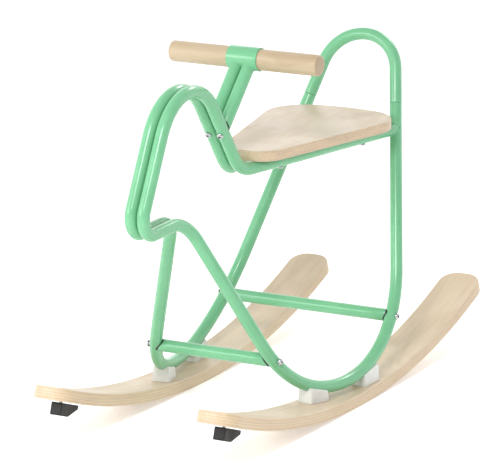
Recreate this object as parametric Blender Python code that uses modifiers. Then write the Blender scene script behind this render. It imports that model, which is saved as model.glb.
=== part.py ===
"""Child's rocking horse: two bent steel side frames, a plywood seat, a backrest hoop and bent-ply rockers.

The frame stands with +X towards the horse's nose, +Y to its left and +Z up. The origin is on the floor,
under the middle of the bounding box. All lengths are in metres.
"""
import math

import bmesh
import bpy
from mathutils import Matrix, Vector

# ---------------------------------------------------------------- driving dimensions
GAP = 0.0003                # clearance between pieces that touch

TUBE_D = 0.019              # outer diameter of every frame tube
TUBE_WALL = 0.0015          # wall of every frame tube
PAIR_GAP = 0.0010           # clearance between the left and right tubes at the neck

RAIL_Z = 0.361              # axis height of the seat rails
BELLY_X, BELLY_R = 0.1063, 0.055
CREST = (0.2744, 0.5882)    # corner of neck and face lines, X and Z
CREST_R = 0.0905
MUZZLE = (0.4123, 0.3208)   # corner of face and jaw lines, X and Z
MUZZLE_R = 0.0275
THROAT = (0.2745, 0.3232)   # corner of jaw and front leg lines, X and Z
THROAT_R = 0.056
FRONT_FOOT = (0.1511, 0.1150, 0.0552)   # corner of front leg and foot lines
FRONT_FOOT_R = 0.161
REAR_FOOT = (-0.1033, 0.1690, 0.0050)   # corner of foot and upright lines
REAR_FOOT_R = 0.218
SEAM = (-0.2851, 0.0744, 0.3963)        # top of the upright, where the hoop plugs in

HOOP_RISE = 0.1055          # from the seam to the top of the hoop's axis, along its slope
PLUG_LENGTH = 0.028         # reduced end of the hoop inside the upright
PLUG_WALL = 0.0017

SEAT_THICK = 0.016
SEAT_FRONT_X = 0.0790
SEAT_REAR_X = -0.2675
SEAT_NOSE_HALF = 0.041      # half width where the side line meets the front line
SEAT_NOSE_R = 0.042
SEAT_FLARE = 0.2240         # half width gained per metre towards the rear
SEAT_REAR_R = 0.245         # radius of the bowed rear edge
SEAT_CORNER_R = 0.066
SEAT_SCREW_X = (0.0115, -0.1855)

DOWEL_D = 0.0316
DOWEL_LENGTH = 0.247
DOWEL_ROUND = 0.004
HANDLE_AXIS = (0.0681, 0.5234)          # X and Z of the dowel's axis
COLLAR_LENGTH = 0.050
COLLAR_WALL = 0.0015
STEM_SLOPE = math.radians(44.6)         # stems point this far below the horizontal, forwards

FRONT_BAR_Z = 0.0984
REAR_BAR_Z = 0.1016
SPACER_THICK = 0.0014       # curved plastic spacer between a side tube and the coped tube bolted to it
INSERT_LENGTH = 0.018
HEAD_SINK = 0.0010          # depth of the flat pressed in a tube where a bolt head's high side sits

BOLT_D = 0.006
BOLT_HOLE_D = 0.0066
BOLT_HEAD_D = 0.0105
BOLT_HEAD_H = 0.0032
SOCKET_AF = 0.004           # hexagon socket across its flats
SOCKET_DEPTH = 0.0020

SCREW_D = 0.005
SCREW_HOLE_D = 0.0056
SCREW_HEAD_D = 0.0095
SCREW_HEAD_H = 0.0026
NUT_D = 0.009
NUT_LENGTH = 0.011

ROCKER_LENGTH = 0.850
ROCKER_WIDTH = 0.067
ROCKER_THICK = 0.0188
ROCKER_RADIUS = 1.170       # radius of the running surface
ROCKER_LOW_X = 0.0140       # where the running surface meets the floor, under the centre of mass
ROCKER_CORNER_R = 0.027
ROCKER_SPREAD = 0.134       # from the middle plane to a board's middle

SADDLE_X = {"front": 0.0930, "rear": -0.0390}
SADDLE_LENGTH = 0.044
SADDLE_WIDTH = 0.029
SADDLE_TAPER = 0.85         # size of a saddle's top over its foot
SADDLE_WRAP = 0.0060        # how far a saddle's cheeks rise beside the tube, from its lowest line

STOP_X = 0.3970
STOP_LENGTH = 0.050
STOP_WIDTH = 0.018
STOP_HEIGHT = 0.019
STOP_CHAMFER = (0.026, 0.013)

WELD_START = 0.002          # from an upright's axis to the start of its weld
WELD_LENGTH = 0.005         # weld along the rail, past the rail's end
SOCKET_SPARE = 0.004        # depth of an upright's socket past the hoop's plug
PLUG_ROOT = 0.006           # length over which a plug is thickened into the hoop
SEAT_SETBACK = 0.024        # rear corner's distance ahead of the seat's rearmost line
SEAT_ROWS = 6
SEAT_CORNER_ROWS = 3        # rows of the rear edge that the corner's rounding takes up
BOW_JOINT_R = 0.0001        # rounding where the rear edge's short straight runs meet
STEM_FLOOR = 0.006          # solid weld between a stem's bore and the collar
BRIDGE_R = 0.004            # weld between the two stems under the collar
BRIDGE_LENGTH = 0.010
BRIDGE_OVERLAP = 0.003
SLEEVE_SINK = 0.0005        # depth of a threaded plug below the end of its tube
HEAD_CROWN = 0.72           # radius of a head's flat top over its rim's
HEAD_EDGE = 0.45            # height of a head's rim over its full height
THREAD_FILL = 0.8           # share of a threaded length that its bolt fills
HEAD_COVER = 0.0025         # depth of a saddle bolt's head inside the rocker
SADDLE_EDGE = 0.0012
STOP_SCREW_X = 0.012        # from a stop's front to its screw
STOP_SCREW_SINK = 0.001
STOP_PILOT = 0.010          # depth of a stop screw's hole in the rocker
STOP_BITE = 0.008           # depth of the screw in it

SHARP_ANGLE = math.radians(35)
CUT_OVER = 0.002            # how far a cutter runs past the face it opens
ROCKER_STEPS = 32
OUTER_SIDES = 16
BORE_SIDES = 8
ROUND_SIDES = 24
SMALL_SIDES = 12
TURN_STEP = math.radians(11.0)

TUBE_R = TUBE_D / 2
BORE_R = TUBE_R - TUBE_WALL
NECK_Y = TUBE_R + PAIR_GAP / 2
PLUG_R = BORE_R - GAP
RAIL_END = TUBE_R * 1.25    # from an upright's axis to the square end of its rail, bridged by the weld

SIDES = {"left": 1.0, "right": -1.0}


# ---------------------------------------------------------------- scene and materials
def clear_scene():
    """Remove every object of the start-up scene."""
    for obj in list(bpy.data.objects):
        bpy.data.objects.remove(obj, do_unlink=True)


def new_collection(name):
    """Add a collection under the scene's own."""
    coll = bpy.data.collections.new(name)
    bpy.context.scene.collection.children.link(coll)
    return coll


def new_material(name, color, roughness, metallic=0.0):
    """A plain Principled material."""
    mat = bpy.data.materials.new(name)
    mat.use_nodes = True
    shader = mat.node_tree.nodes["Principled BSDF"]
    shader.inputs["Base Color"].default_value = (*color, 1.0)
    shader.inputs["Roughness"].default_value = roughness
    shader.inputs["Metallic"].default_value = metallic
    mat.diffuse_color = (*color, 1.0)
    return mat


clear_scene()
PARTS = new_collection("rocking_horse")
CUTTERS = new_collection("cutters")

MATERIALS = {
    "green_paint": ((0.22, 0.68, 0.40), 0.32, 0.0),
    "seat_ply": ((0.72, 0.60, 0.44), 0.55, 0.0),
    "rocker_ply": ((0.66, 0.50, 0.33), 0.55, 0.0),
    "dowel_wood": ((0.68, 0.52, 0.33), 0.50, 0.0),
    "white_plastic": ((0.74, 0.74, 0.71), 0.45, 0.0),
    "black_plastic": ((0.02, 0.02, 0.02), 0.55, 0.0),
    "bolt_steel": ((0.62, 0.62, 0.64), 0.25, 1.0),
    "zinc_steel": ((0.52, 0.53, 0.55), 0.40, 1.0),
}


# ---------------------------------------------------------------- small geometry helpers
def fillet_path(corners, radii):
    """Points along a polyline whose inner corners are rounded by the given radii."""
    points = [corners[0]]
    for before, corner, after, radius in zip(corners, corners[1:], corners[2:], radii):
        back = (before - corner).normalized()
        ahead = (after - corner).normalized()
        half = back.angle(ahead) / 2
        centre = corner + (back + ahead).normalized() * (radius / math.sin(half))
        start = corner + back * (radius / math.tan(half)) - centre
        end = corner + ahead * (radius / math.tan(half)) - centre
        sweep = start.angle(end)
        steps = max(2, math.ceil(sweep / TURN_STEP))
        for i in range(steps + 1):
            t = i / steps
            along = start * math.sin((1 - t) * sweep) + end * math.sin(t * sweep)
            points.append(centre + along / math.sin(sweep))
    points.append(corners[-1])
    return points


def path_at(points, index, value):
    """Point and direction where a run of points crosses a value of one coordinate."""
    for a, b in zip(points, points[1:]):
        if (a[index] - value) * (b[index] - value) <= 0 and a[index] != b[index]:
            t = (value - a[index]) / (b[index] - a[index])
            return a.lerp(b, t), (b - a).normalized()
    raise ValueError("the path does not reach that value")


def rocker_z(x):
    """Height of a rocker's running surface above the floor."""
    return ROCKER_RADIUS - math.sqrt(ROCKER_RADIUS ** 2 - (x - ROCKER_LOW_X) ** 2)


def link(obj, coll):
    """Put an object in one of the two collections."""
    coll.objects.link(obj)
    if coll is CUTTERS:
        obj.hide_render = True
        obj.display_type = "WIRE"
    return obj


def mesh_object(name, mesh, coll):
    """An object for a mesh, shaded smooth except over sharp edges."""
    mesh.name = name
    mesh.shade_smooth()
    mesh.set_sharp_from_angle(angle=SHARP_ANGLE)
    return link(bpy.data.objects.new(name, mesh), coll)


def curve_object(name, curve, coll):
    """Turn a curve into a closed mesh object and drop the curve."""
    guide = bpy.data.objects.new(f"{name}_guide", curve)
    bpy.context.scene.collection.objects.link(guide)
    graph = bpy.context.evaluated_depsgraph_get()
    mesh = bpy.data.meshes.new_from_object(guide.evaluated_get(graph))
    work = bmesh.new()
    work.from_mesh(mesh)
    bmesh.ops.remove_doubles(work, verts=work.verts, dist=0.00001)
    bmesh.ops.recalc_face_normals(work, faces=work.faces)
    work.to_mesh(mesh)
    work.free()
    obj = mesh_object(name, mesh, coll)
    obj.matrix_world = guide.matrix_world
    bpy.data.objects.remove(guide, do_unlink=True)
    bpy.data.curves.remove(curve)
    return obj


def swept_bar(name, points, radius, sides, coll):
    """A solid round bar along a run of points."""
    curve = bpy.data.curves.new(name, "CURVE")
    curve.dimensions = "3D"
    curve.bevel_depth = radius
    curve.bevel_resolution = (sides - 4) // 2
    curve.use_fill_caps = True
    spline = curve.splines.new("POLY")
    spline.points.add(len(points) - 1)
    for target, point in zip(spline.points, points):
        target.co = (*point, 1.0)
    return curve_object(name, curve, coll)


def flat_plate(name, outline, thickness, coll):
    """A plate with a flat outline in its own XY plane, centred on that plane."""
    curve = bpy.data.curves.new(name, "CURVE")
    curve.dimensions = "2D"
    curve.fill_mode = "BOTH"
    curve.extrude = thickness / 2
    spline = curve.splines.new("POLY")
    spline.points.add(len(outline) - 1)
    for target, (x, y) in zip(spline.points, outline):
        target.co = (x, y, 0.0, 1.0)
    spline.use_cyclic_u = True
    return curve_object(name, curve, coll)


def bar_between(name, start, end, radius, sides, coll):
    """A capped cylinder from one point to another."""
    mesh = bpy.data.meshes.new(name)
    work = bmesh.new()
    bmesh.ops.create_cone(work, cap_ends=True, segments=sides, radius1=radius, radius2=radius,
                          depth=(end - start).length)
    work.to_mesh(mesh)
    work.free()
    obj = mesh_object(name, mesh, coll)
    aim(obj, (start + end) / 2, end - start)
    return obj


def turned(name, profile, sides, coll):
    """A turned solid: radius and height pairs run down the outer side, top to bottom, on the Z axis."""
    mesh = bpy.data.meshes.new(name)
    work = bmesh.new()
    verts = [work.verts.new((radius, 0.0, height)) for radius, height in profile]
    for a, b in zip(verts, verts[1:]):
        work.edges.new((a, b))
    work.to_mesh(mesh)
    work.free()
    obj = mesh_object(name, mesh, coll)
    screw = obj.modifiers.new("turn", "SCREW")
    screw.steps = screw.render_steps = sides
    screw.use_merge_vertices = True
    screw.merge_threshold = 0.00001
    return bake(obj)


def aim(obj, location, direction):
    """Place an object with its own Z axis along a direction."""
    obj.location = location
    obj.rotation_euler = direction.to_track_quat("Z", "Y").to_euler()
    bpy.context.view_layer.update()
    return obj


def bake(obj):
    """Replace an object's mesh by the one its modifiers make."""
    graph = bpy.context.evaluated_depsgraph_get()
    mesh = bpy.data.meshes.new_from_object(obj.evaluated_get(graph))
    old = obj.data
    obj.modifiers.clear()
    obj.data = mesh
    bpy.data.meshes.remove(old)
    mesh.name = obj.name
    mesh.shade_smooth()
    mesh.set_sharp_from_angle(angle=SHARP_ANGLE)
    return obj


def combine(obj, others, operation):
    """Join, cut or intersect an object with helpers, exactly."""
    for other in others:
        step = obj.modifiers.new(operation.lower(), "BOOLEAN")
        step.operation = operation
        step.solver = "EXACT"
        step.object = other
    return bake(obj)


def paint(obj, material):
    """Give an object a material of its own."""
    color, roughness, metallic = MATERIALS[material]
    obj.data.materials.clear()
    obj.data.materials.append(new_material(f"{obj.name}_{material}", color, roughness, metallic))
    return obj


def hole(name, point, direction, reach, diameter, sides=SMALL_SIDES):
    """A cutter for a round hole through a point, reaching equally far both ways."""
    offset = direction.normalized() * reach
    return bar_between(name, point - offset, point + offset, diameter / 2, sides, CUTTERS)


# ---------------------------------------------------------------- paths
def upright_point(side, z):
    """Point of an upright's axis line at a height."""
    low, high = Vector(REAR_FOOT), Vector(SEAM)
    point = low.lerp(high, (z - low.z) / (high.z - low.z))
    return Vector((point.x, point.y * side, z))


def rail_line(side):
    """Rear and front ends of a rail's axis line."""
    return upright_point(side, RAIL_Z), Vector((BELLY_X, NECK_Y * side, RAIL_Z))


def frame_path(side):
    """Axis of a side frame, from the rail's rear end round the head and the feet to the upright's top."""
    rear, belly = rail_line(side)
    rail_end = rear + (belly - rear).normalized() * RAIL_END
    corners = [
        rail_end,
        belly,
        Vector((CREST[0], NECK_Y * side, CREST[1])),
        Vector((MUZZLE[0], NECK_Y * side, MUZZLE[1])),
        Vector((THROAT[0], NECK_Y * side, THROAT[1])),
        Vector((FRONT_FOOT[0], FRONT_FOOT[1] * side, FRONT_FOOT[2])),
        Vector((REAR_FOOT[0], REAR_FOOT[1] * side, REAR_FOOT[2])),
        Vector((SEAM[0], SEAM[1] * side, SEAM[2])),
    ]
    radii = [BELLY_R, CREST_R, MUZZLE_R, THROAT_R, FRONT_FOOT_R, REAR_FOOT_R]
    return fillet_path(corners, radii)


def lower_path(side):
    """The part of a side frame's axis from the throat down and up to the seam."""
    points = frame_path(side)
    throat = max(i for i, p in enumerate(points) if abs(p.y) <= NECK_Y + GAP)
    return points[throat:]


def bar_reach(slope):
    """Distance from a side frame's axis to its surface, measured along Y."""
    return (TUBE_R + GAP) / math.hypot(slope.x, slope.z)


def bar_seat(side, height, rear):
    """Point and direction of a side frame's axis at a crossbar's height."""
    points = lower_path(side)
    return path_at(points[::-1] if rear else points, 2, height)


def saddle_seat(side, place):
    """Point and direction of a side frame's axis over a saddle."""
    points = [p for p in lower_path(side) if p.z < min(FRONT_BAR_Z, REAR_BAR_Z)]
    return path_at(points, 0, SADDLE_X[place])


def neck_slope():
    """Direction of the neck, up to the crest."""
    return Vector((CREST[0] - BELLY_X, 0.0, CREST[1] - RAIL_Z)).normalized()


def neck_seat(side):
    """Point of a neck's axis where the stem's axis meets it, and the stem's direction down to it."""
    down = Vector((math.cos(STEM_SLOPE), 0.0, -math.sin(STEM_SLOPE)))
    belly = Vector((BELLY_X, NECK_Y * side, RAIL_Z))
    neck = neck_slope()
    start = Vector((HANDLE_AXIS[0], NECK_Y * side, HANDLE_AXIS[1]))
    gap = belly - start
    reach = (gap.x * neck.z - gap.z * neck.x) / (down.x * neck.z - down.z * neck.x)
    return start + down * reach, down


def head_lift(slope, direction):
    """How far a bolt head stands off a slanting tube, sunk into the flat pressed in its high side."""
    lean = abs(slope.normalized().dot(direction.normalized()))
    return BOLT_HEAD_D / 2 * lean / math.sqrt(1 - lean * lean) - min(HEAD_SINK, TUBE_WALL * 0.7)


def head_flat(name, point, outward, reach, slope):
    """Cutter for the flat under a bolt head, square to the bolt."""
    start = point + outward * (reach + head_lift(slope, outward) - GAP)
    return bar_between(name, start, start + outward * TUBE_R, BOLT_HEAD_D / 2 + GAP, ROUND_SIDES, CUTTERS)


def rail_screw_point(side, x):
    """Point of a rail's axis at a seat screw."""
    rear, belly = rail_line(side)
    return rear.lerp(belly, (x - rear.x) / (belly.x - rear.x))


def clearance_tube(name, side):
    """A side frame's tube with the clearance added, to shape the pieces that bed on it."""
    return swept_bar(name, frame_path(side), TUBE_R + GAP, OUTER_SIDES, CUTTERS)


def cope(name, point, slope, clearance):
    """A straight stretch of side tube grown by a clearance, to cope the end of a tube that meets it."""
    half = slope.normalized() * TUBE_D * 1.5
    return bar_between(name, point - half, point + half, TUBE_R + clearance, ROUND_SIDES, CUTTERS)


def cope_depth(slope, direction):
    """Distance from a side tube's axis, along a coped tube's, past which the coped tube is whole all round."""
    lean = abs(slope.normalized().dot(direction.normalized()))
    return (TUBE_R + SPACER_THICK + 2 * GAP + TUBE_R * lean) / math.sqrt(1 - lean * lean)


# ---------------------------------------------------------------- side frames and hoop
def frame_bore(name, side):
    """The inside of a side frame, open at the upright's top."""
    points = frame_path(side)
    points[0] = points[0] + (points[1] - points[0]).normalized() * WELD_LENGTH
    points[-1] = points[-1] + (points[-1] - points[-2]).normalized() * CUT_OVER
    return swept_bar(name, points, BORE_R, BORE_SIDES, CUTTERS)


def rail_weld(name, side):
    """Weld that joins a rail's rear end to its upright, no prouder than the clearance under the seat."""
    rear, belly = rail_line(side)
    ahead = (belly - rear).normalized()
    return bar_between(name, rear + ahead * WELD_START, rear + ahead * (RAIL_END + WELD_LENGTH),
                       TUBE_R + GAP / 2, ROUND_SIDES, CUTTERS)


def side_frame(word):
    """One bent tube: seat rail, neck, head, jaw, front leg, foot and upright."""
    side = SIDES[word]
    name = f"side_frame_{word}"
    obj = swept_bar(name, frame_path(side), TUBE_R, OUTER_SIDES, PARTS)
    combine(obj, [rail_weld(f"{name}_weld", side)], "UNION")
    top = Vector((SEAM[0], SEAM[1] * side, SEAM[2]))
    down = (upright_point(side, RAIL_Z) - top).normalized()
    socket_end = top + down * (PLUG_LENGTH + SOCKET_SPARE)
    across = Vector((0.0, 1.0, 0.0))
    cuts = [
        frame_bore(f"{name}_bore", side),
        bar_between(f"{name}_socket", socket_end, top - down * CUT_OVER, BORE_R, ROUND_SIDES, CUTTERS),
    ]
    for place, height, rear in (("front", FRONT_BAR_Z, False), ("rear", REAR_BAR_Z, True)):
        point, along = bar_seat(side, height, rear)
        cuts.append(hole(f"{name}_{place}_bar_hole", point, across, TUBE_D, BOLT_HOLE_D))
        cuts.append(head_flat(f"{name}_{place}_flat", point, across * side, bar_reach(along), along))
    point, down = neck_seat(side)
    cuts.append(hole(f"{name}_neck_hole", point, down, TUBE_D, BOLT_HOLE_D))
    cuts.append(head_flat(f"{name}_neck_flat", point, down, TUBE_R + GAP, neck_slope()))
    up = Vector((0.0, 0.0, 1.0))
    for i, x in enumerate(SEAT_SCREW_X):
        cuts.append(hole(f"{name}_seat_hole_{i}", rail_screw_point(side, x), up, TUBE_D, SCREW_HOLE_D))
    for place in SADDLE_X:
        point, _ = saddle_seat(side, place)
        low = point - up * TUBE_D
        cuts.append(bar_between(f"{name}_{place}_nut_hole", low, point, NUT_D / 2 + GAP, SMALL_SIDES, CUTTERS))
    return paint(combine(obj, cuts, "DIFFERENCE"), "green_paint")


def hoop_corners():
    """Seam points and the corner above them where the hoop's two legs would meet."""
    left, right = Vector(SEAM), Vector((SEAM[0], -SEAM[1], SEAM[2]))
    rise = (left - Vector(REAR_FOOT)).normalized()
    slope = Vector((rise.x, 0.0, rise.z)).normalized()
    middle = (left + right) / 2
    lean = -rise.y / math.hypot(rise.x, rise.z)
    return left, middle + slope * (left.y / lean), right


def hoop_radius():
    """Bend radius that brings the hoop's axis to its stated rise."""
    left, corner, _ = hoop_corners()
    half = math.atan2(left.y, (corner - (left + hoop_corners()[2]) / 2).length)
    height = (corner - Vector((left.x, 0.0, left.z))).length
    return (height - HOOP_RISE) / (1 / math.sin(half) - 1)


def backrest_hoop():
    """Bent tube whose reduced ends plug into the two uprights."""
    left, corner, right = hoop_corners()
    down_left, down_right = (left - corner).normalized(), (right - corner).normalized()
    radius = hoop_radius()
    body = [left - down_left * GAP, corner, right - down_right * GAP]
    obj = swept_bar("backrest_hoop", fillet_path(body, [radius]), TUBE_R, OUTER_SIDES, PARTS)
    plugs, cuts = [], []
    for word, foot, down in (("left", left, down_left), ("right", right, down_right)):
        plugs.append(bar_between(f"hoop_plug_{word}", foot + down * PLUG_LENGTH, foot - down * PLUG_ROOT,
                                 PLUG_R, ROUND_SIDES, CUTTERS))
    combine(obj, plugs, "UNION")
    deep = PLUG_LENGTH + CUT_OVER
    inner = [left + down_left * deep, corner, right + down_right * deep]
    cuts.append(swept_bar("hoop_inner", fillet_path(inner, [radius]), PLUG_R - PLUG_WALL, BORE_SIDES, CUTTERS))
    wide = [left - down_left * PLUG_ROOT, corner, right - down_right * PLUG_ROOT]
    cuts.append(swept_bar("hoop_bore", fillet_path(wide, [radius]), BORE_R, BORE_SIDES, CUTTERS))
    return paint(combine(obj, cuts, "DIFFERENCE"), "green_paint")


# ---------------------------------------------------------------- seat
def seat_outline():
    """Outline of the seat: rounded nose, straight flared sides, bowed rear edge."""
    rear = []
    corner_y = SEAT_NOSE_HALF + SEAT_FLARE * (SEAT_FRONT_X - SEAT_REAR_X - SEAT_SETBACK)
    for i in range(SEAT_ROWS + 1):
        y = corner_y * i / SEAT_ROWS
        rear.append(Vector((SEAT_REAR_X + y * y / (2 * SEAT_REAR_R), y, 0.0)))
    nose = Vector((SEAT_FRONT_X, SEAT_NOSE_HALF, 0.0))
    tip = Vector((SEAT_FRONT_X, 0.0, 0.0))
    corners = rear[:-SEAT_CORNER_ROWS] + [rear[-1], nose, tip]
    radii = [BOW_JOINT_R] * (len(rear) - SEAT_CORNER_ROWS - 1) + [SEAT_CORNER_R, SEAT_NOSE_R]
    half = fillet_path(corners, radii)
    upper = [(p.x, p.y) for p in half]
    return upper + [(x, -y) for x, y in upper[-2:0:-1]]


def seat_panel():
    """Plywood seat on top of the two rails."""
    base = RAIL_Z + TUBE_R + GAP
    obj = flat_plate("seat_panel", seat_outline(), SEAT_THICK, PARTS)
    obj.location = (0.0, 0.0, base + SEAT_THICK / 2)
    bpy.context.view_layer.update()
    cuts = []
    for word, side in SIDES.items():
        for i, x in enumerate(SEAT_SCREW_X):
            point = rail_screw_point(side, x)
            low = Vector((point.x, point.y, base - CUT_OVER))
            high = Vector((point.x, point.y, base + NUT_LENGTH + 2 * GAP))
            cuts.append(bar_between(f"seat_hole_{word}_{i}", low, high, NUT_D / 2 + GAP, SMALL_SIDES, CUTTERS))
    return paint(combine(obj, cuts, "DIFFERENCE"), "seat_ply")


def threaded_sleeve(name, top, direction, length, outer_d, bore_d):
    """A sleeve with a through bore, from its open end along a direction."""
    inner, outer = bore_d / 2, outer_d / 2
    profile = [(inner, length), (outer, length), (outer, 0.0), (inner, 0.0), (inner, length)]
    obj = turned(name, profile, SMALL_SIDES, PARTS)
    aim(obj, top, direction)
    return paint(obj, "zinc_steel")


def headed_fastener(name, seat, direction, length, sizes, material):
    """A fastener whose head rests on a point and whose shank runs along a direction; hexagon socket."""
    shank_d, head_d, head_h = sizes
    crown = head_d / 2 * HEAD_CROWN
    profile = [(0.0, head_h), (crown, head_h), (head_d / 2, head_h * HEAD_EDGE), (head_d / 2, 0.0),
               (shank_d / 2, 0.0), (shank_d / 2, -length), (0.0, -length)]
    obj = turned(name, profile, SMALL_SIDES, PARTS)
    socket = bar_between(f"{name}_socket", Vector((0, 0, head_h - SOCKET_DEPTH)), Vector((0, 0, head_h + CUT_OVER)),
                         SOCKET_AF / 2 / math.cos(math.pi / 6), 6, CUTTERS)
    combine(obj, [socket], "DIFFERENCE")
    aim(obj, seat, -direction)
    return paint(obj, material)


def seat_fixings():
    """Screws from under the rails and the threaded sleeves they hold in the seat."""
    up = Vector((0.0, 0.0, 1.0))
    for word, side in SIDES.items():
        for place, x in zip(("front", "rear"), SEAT_SCREW_X):
            axis = rail_screw_point(side, x)
            base = Vector((axis.x, axis.y, RAIL_Z + TUBE_R + 2 * GAP))
            threaded_sleeve(f"seat_nut_{word}_{place}", base, up, NUT_LENGTH, NUT_D, SCREW_HOLE_D)
            seat = axis - up * (TUBE_R + GAP)
            length = TUBE_D + 2 * GAP + NUT_LENGTH * THREAD_FILL
            headed_fastener(f"seat_screw_{word}_{place}", seat, up, length,
                            (SCREW_D, SCREW_HEAD_D, SCREW_HEAD_H), "bolt_steel")


# ---------------------------------------------------------------- handlebar
def handle_dowel():
    """Round wooden handle with softened ends."""
    radius, half, soft = DOWEL_D / 2, DOWEL_LENGTH / 2, DOWEL_ROUND
    arc = [(radius - soft + soft * math.sin(a), half - soft + soft * math.cos(a))
           for a in (math.radians(30 * i) for i in range(4))]
    lower = [(r, -z) for r, z in reversed(arc)]
    profile = [(0.0, half)] + arc + lower + [(0.0, -half)]
    obj = turned("handle_dowel", profile, ROUND_SIDES, PARTS)
    aim(obj, Vector((HANDLE_AXIS[0], 0.0, HANDLE_AXIS[1])), Vector((0.0, 1.0, 0.0)))
    return paint(obj, "dowel_wood")


def handle_bracket():
    """Collar round the dowel with its two welded stems."""
    across = Vector((0.0, 1.0, 0.0))
    axis = Vector((HANDLE_AXIS[0], 0.0, HANDLE_AXIS[1]))
    outer = DOWEL_D / 2 + GAP + COLLAR_WALL
    half = across * (COLLAR_LENGTH / 2)
    obj = bar_between("handle_bracket", axis - half, axis + half, outer, ROUND_SIDES, PARTS)
    stems, bores = [], []
    for word, side in SIDES.items():
        point, down = neck_seat(side)
        start = Vector((axis.x, NECK_Y * side, axis.z)) + down * (DOWEL_D / 4)
        stem = bar_between(f"stem_{word}", point, start, TUBE_R, OUTER_SIDES, CUTTERS)
        bed = cope(f"stem_{word}_cope", point, neck_slope(), SPACER_THICK + 2 * GAP)
        stems.append(combine(stem, [bed], "DIFFERENCE"))
        inner = Vector((axis.x, NECK_Y * side, axis.z)) + down * (outer + STEM_FLOOR)
        bores.append(bar_between(f"stem_bore_{word}", point, inner, BORE_R, ROUND_SIDES, CUTTERS))
    bridge_top = axis + down * (outer - BRIDGE_OVERLAP)
    bridge = bar_between("stem_bridge", bridge_top, bridge_top + down * BRIDGE_LENGTH,
                         BRIDGE_R, SMALL_SIDES, CUTTERS)
    combine(obj, stems + [bridge], "UNION")
    bores.append(bar_between("collar_bore", axis - half * 1.2, axis + half * 1.2,
                             DOWEL_D / 2 + GAP, ROUND_SIDES, CUTTERS))
    return paint(combine(obj, bores, "DIFFERENCE"), "green_paint")


def curved_spacer(name, side, point, direction, slope):
    """Curved spacer between a side tube and the coped end of the tube bolted to it."""
    obj = bar_between(name, point + direction * GAP, point + direction * TUBE_D, TUBE_R - GAP,
                      ROUND_SIDES, PARTS)
    combine(obj, [cope(f"{name}_back", point, slope, GAP + SPACER_THICK)], "INTERSECT")
    drill = hole(f"{name}_hole", point, direction, TUBE_D * 2, BOLT_HOLE_D)
    combine(obj, [clearance_tube(f"{name}_bed", side), drill], "DIFFERENCE")
    return paint(obj, "black_plastic")


def handle_fixings():
    """Neck bolts, stem spacers and the threaded plugs inside the stems."""
    for word, side in SIDES.items():
        point, down = neck_seat(side)
        curved_spacer(f"stem_spacer_{word}", side, point, -down, neck_slope())
        depth = cope_depth(neck_slope(), down) + SLEEVE_SINK
        threaded_sleeve(f"stem_insert_{word}", point - down * depth, -down, INSERT_LENGTH,
                        2 * (BORE_R - GAP), BOLT_HOLE_D)
        stand = TUBE_R + GAP + head_lift(neck_slope(), down)
        length = stand + depth + INSERT_LENGTH * THREAD_FILL
        headed_fastener(f"neck_bolt_{word}", point + down * stand, -down, length,
                        (BOLT_D, BOLT_HEAD_D, BOLT_HEAD_H), "bolt_steel")


# ---------------------------------------------------------------- crossbars
def crossbar(place, height, rear):
    """Tube between the side frames, coped at both ends, with its plugs, spacers and bolts."""
    name = f"{place}_crossbar"
    point, slope = bar_seat(1.0, height, rear)
    middle = Vector((point.x, 0.0, point.z))
    half = Vector((0.0, point.y, 0.0))
    obj = bar_between(name, middle - half, middle + half, TUBE_R, OUTER_SIDES, PARTS)
    cuts = [bar_between(f"{name}_bore", middle - half * 1.1, middle + half * 1.1, BORE_R, ROUND_SIDES, CUTTERS)]
    for word, side in SIDES.items():
        axis = Vector((point.x, point.y * side, point.z))
        along = Vector((slope.x, slope.y * side, slope.z))
        inward = Vector((0.0, -side, 0.0))
        cuts.append(cope(f"{name}_{word}_cope", axis, along, SPACER_THICK + 2 * GAP))
        curved_spacer(f"{place}_spacer_{word}", side, axis, inward, along)
        depth = cope_depth(along, inward) + SLEEVE_SINK
        threaded_sleeve(f"{place}_insert_{word}", axis + inward * depth, inward, INSERT_LENGTH,
                        2 * (BORE_R - GAP), BOLT_HOLE_D)
        stand = bar_reach(along) + head_lift(along, inward)
        headed_fastener(f"{place}_bolt_{word}", axis - inward * stand, inward,
                        stand + depth + INSERT_LENGTH * THREAD_FILL,
                        (BOLT_D, BOLT_HEAD_D, BOLT_HEAD_H), "bolt_steel")
    paint(combine(obj, cuts, "DIFFERENCE"), "green_paint")


# ---------------------------------------------------------------- rockers, saddles and stops
def rocker_end(name, side, way):
    """Cutter that ends a rocker square to its bend with rounded corners, in front or behind."""
    half, round_r = ROCKER_WIDTH / 2, ROCKER_CORNER_R
    corners = [Vector((-2 * round_r, half, 0)), Vector((0, half, 0)), Vector((0, -half, 0)),
               Vector((-2 * round_r, -half, 0))]
    inner = [(p.x, p.y) for p in fillet_path(corners, [round_r] * 2)[1:-1]]
    outer = [(-round_r, -2 * half), (3 * round_r, -2 * half), (3 * round_r, 2 * half), (-round_r, 2 * half)]
    obj = flat_plate(name, inner + outer, round_r * 3, CUTTERS)
    slope = math.asin((way * ROCKER_LENGTH / 2 - ROCKER_LOW_X) / ROCKER_RADIUS)
    along = Vector((math.cos(slope), 0.0, math.sin(slope))) * way
    normal = Vector((-math.sin(slope), 0.0, math.cos(slope)))
    turn = Matrix((along, normal.cross(along), normal)).transposed().to_4x4()
    tip_x = way * ROCKER_LENGTH / 2
    obj.matrix_world = Matrix.Translation((tip_x, ROCKER_SPREAD * side, rocker_z(tip_x))) @ turn
    bpy.context.view_layer.update()
    return obj


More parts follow.
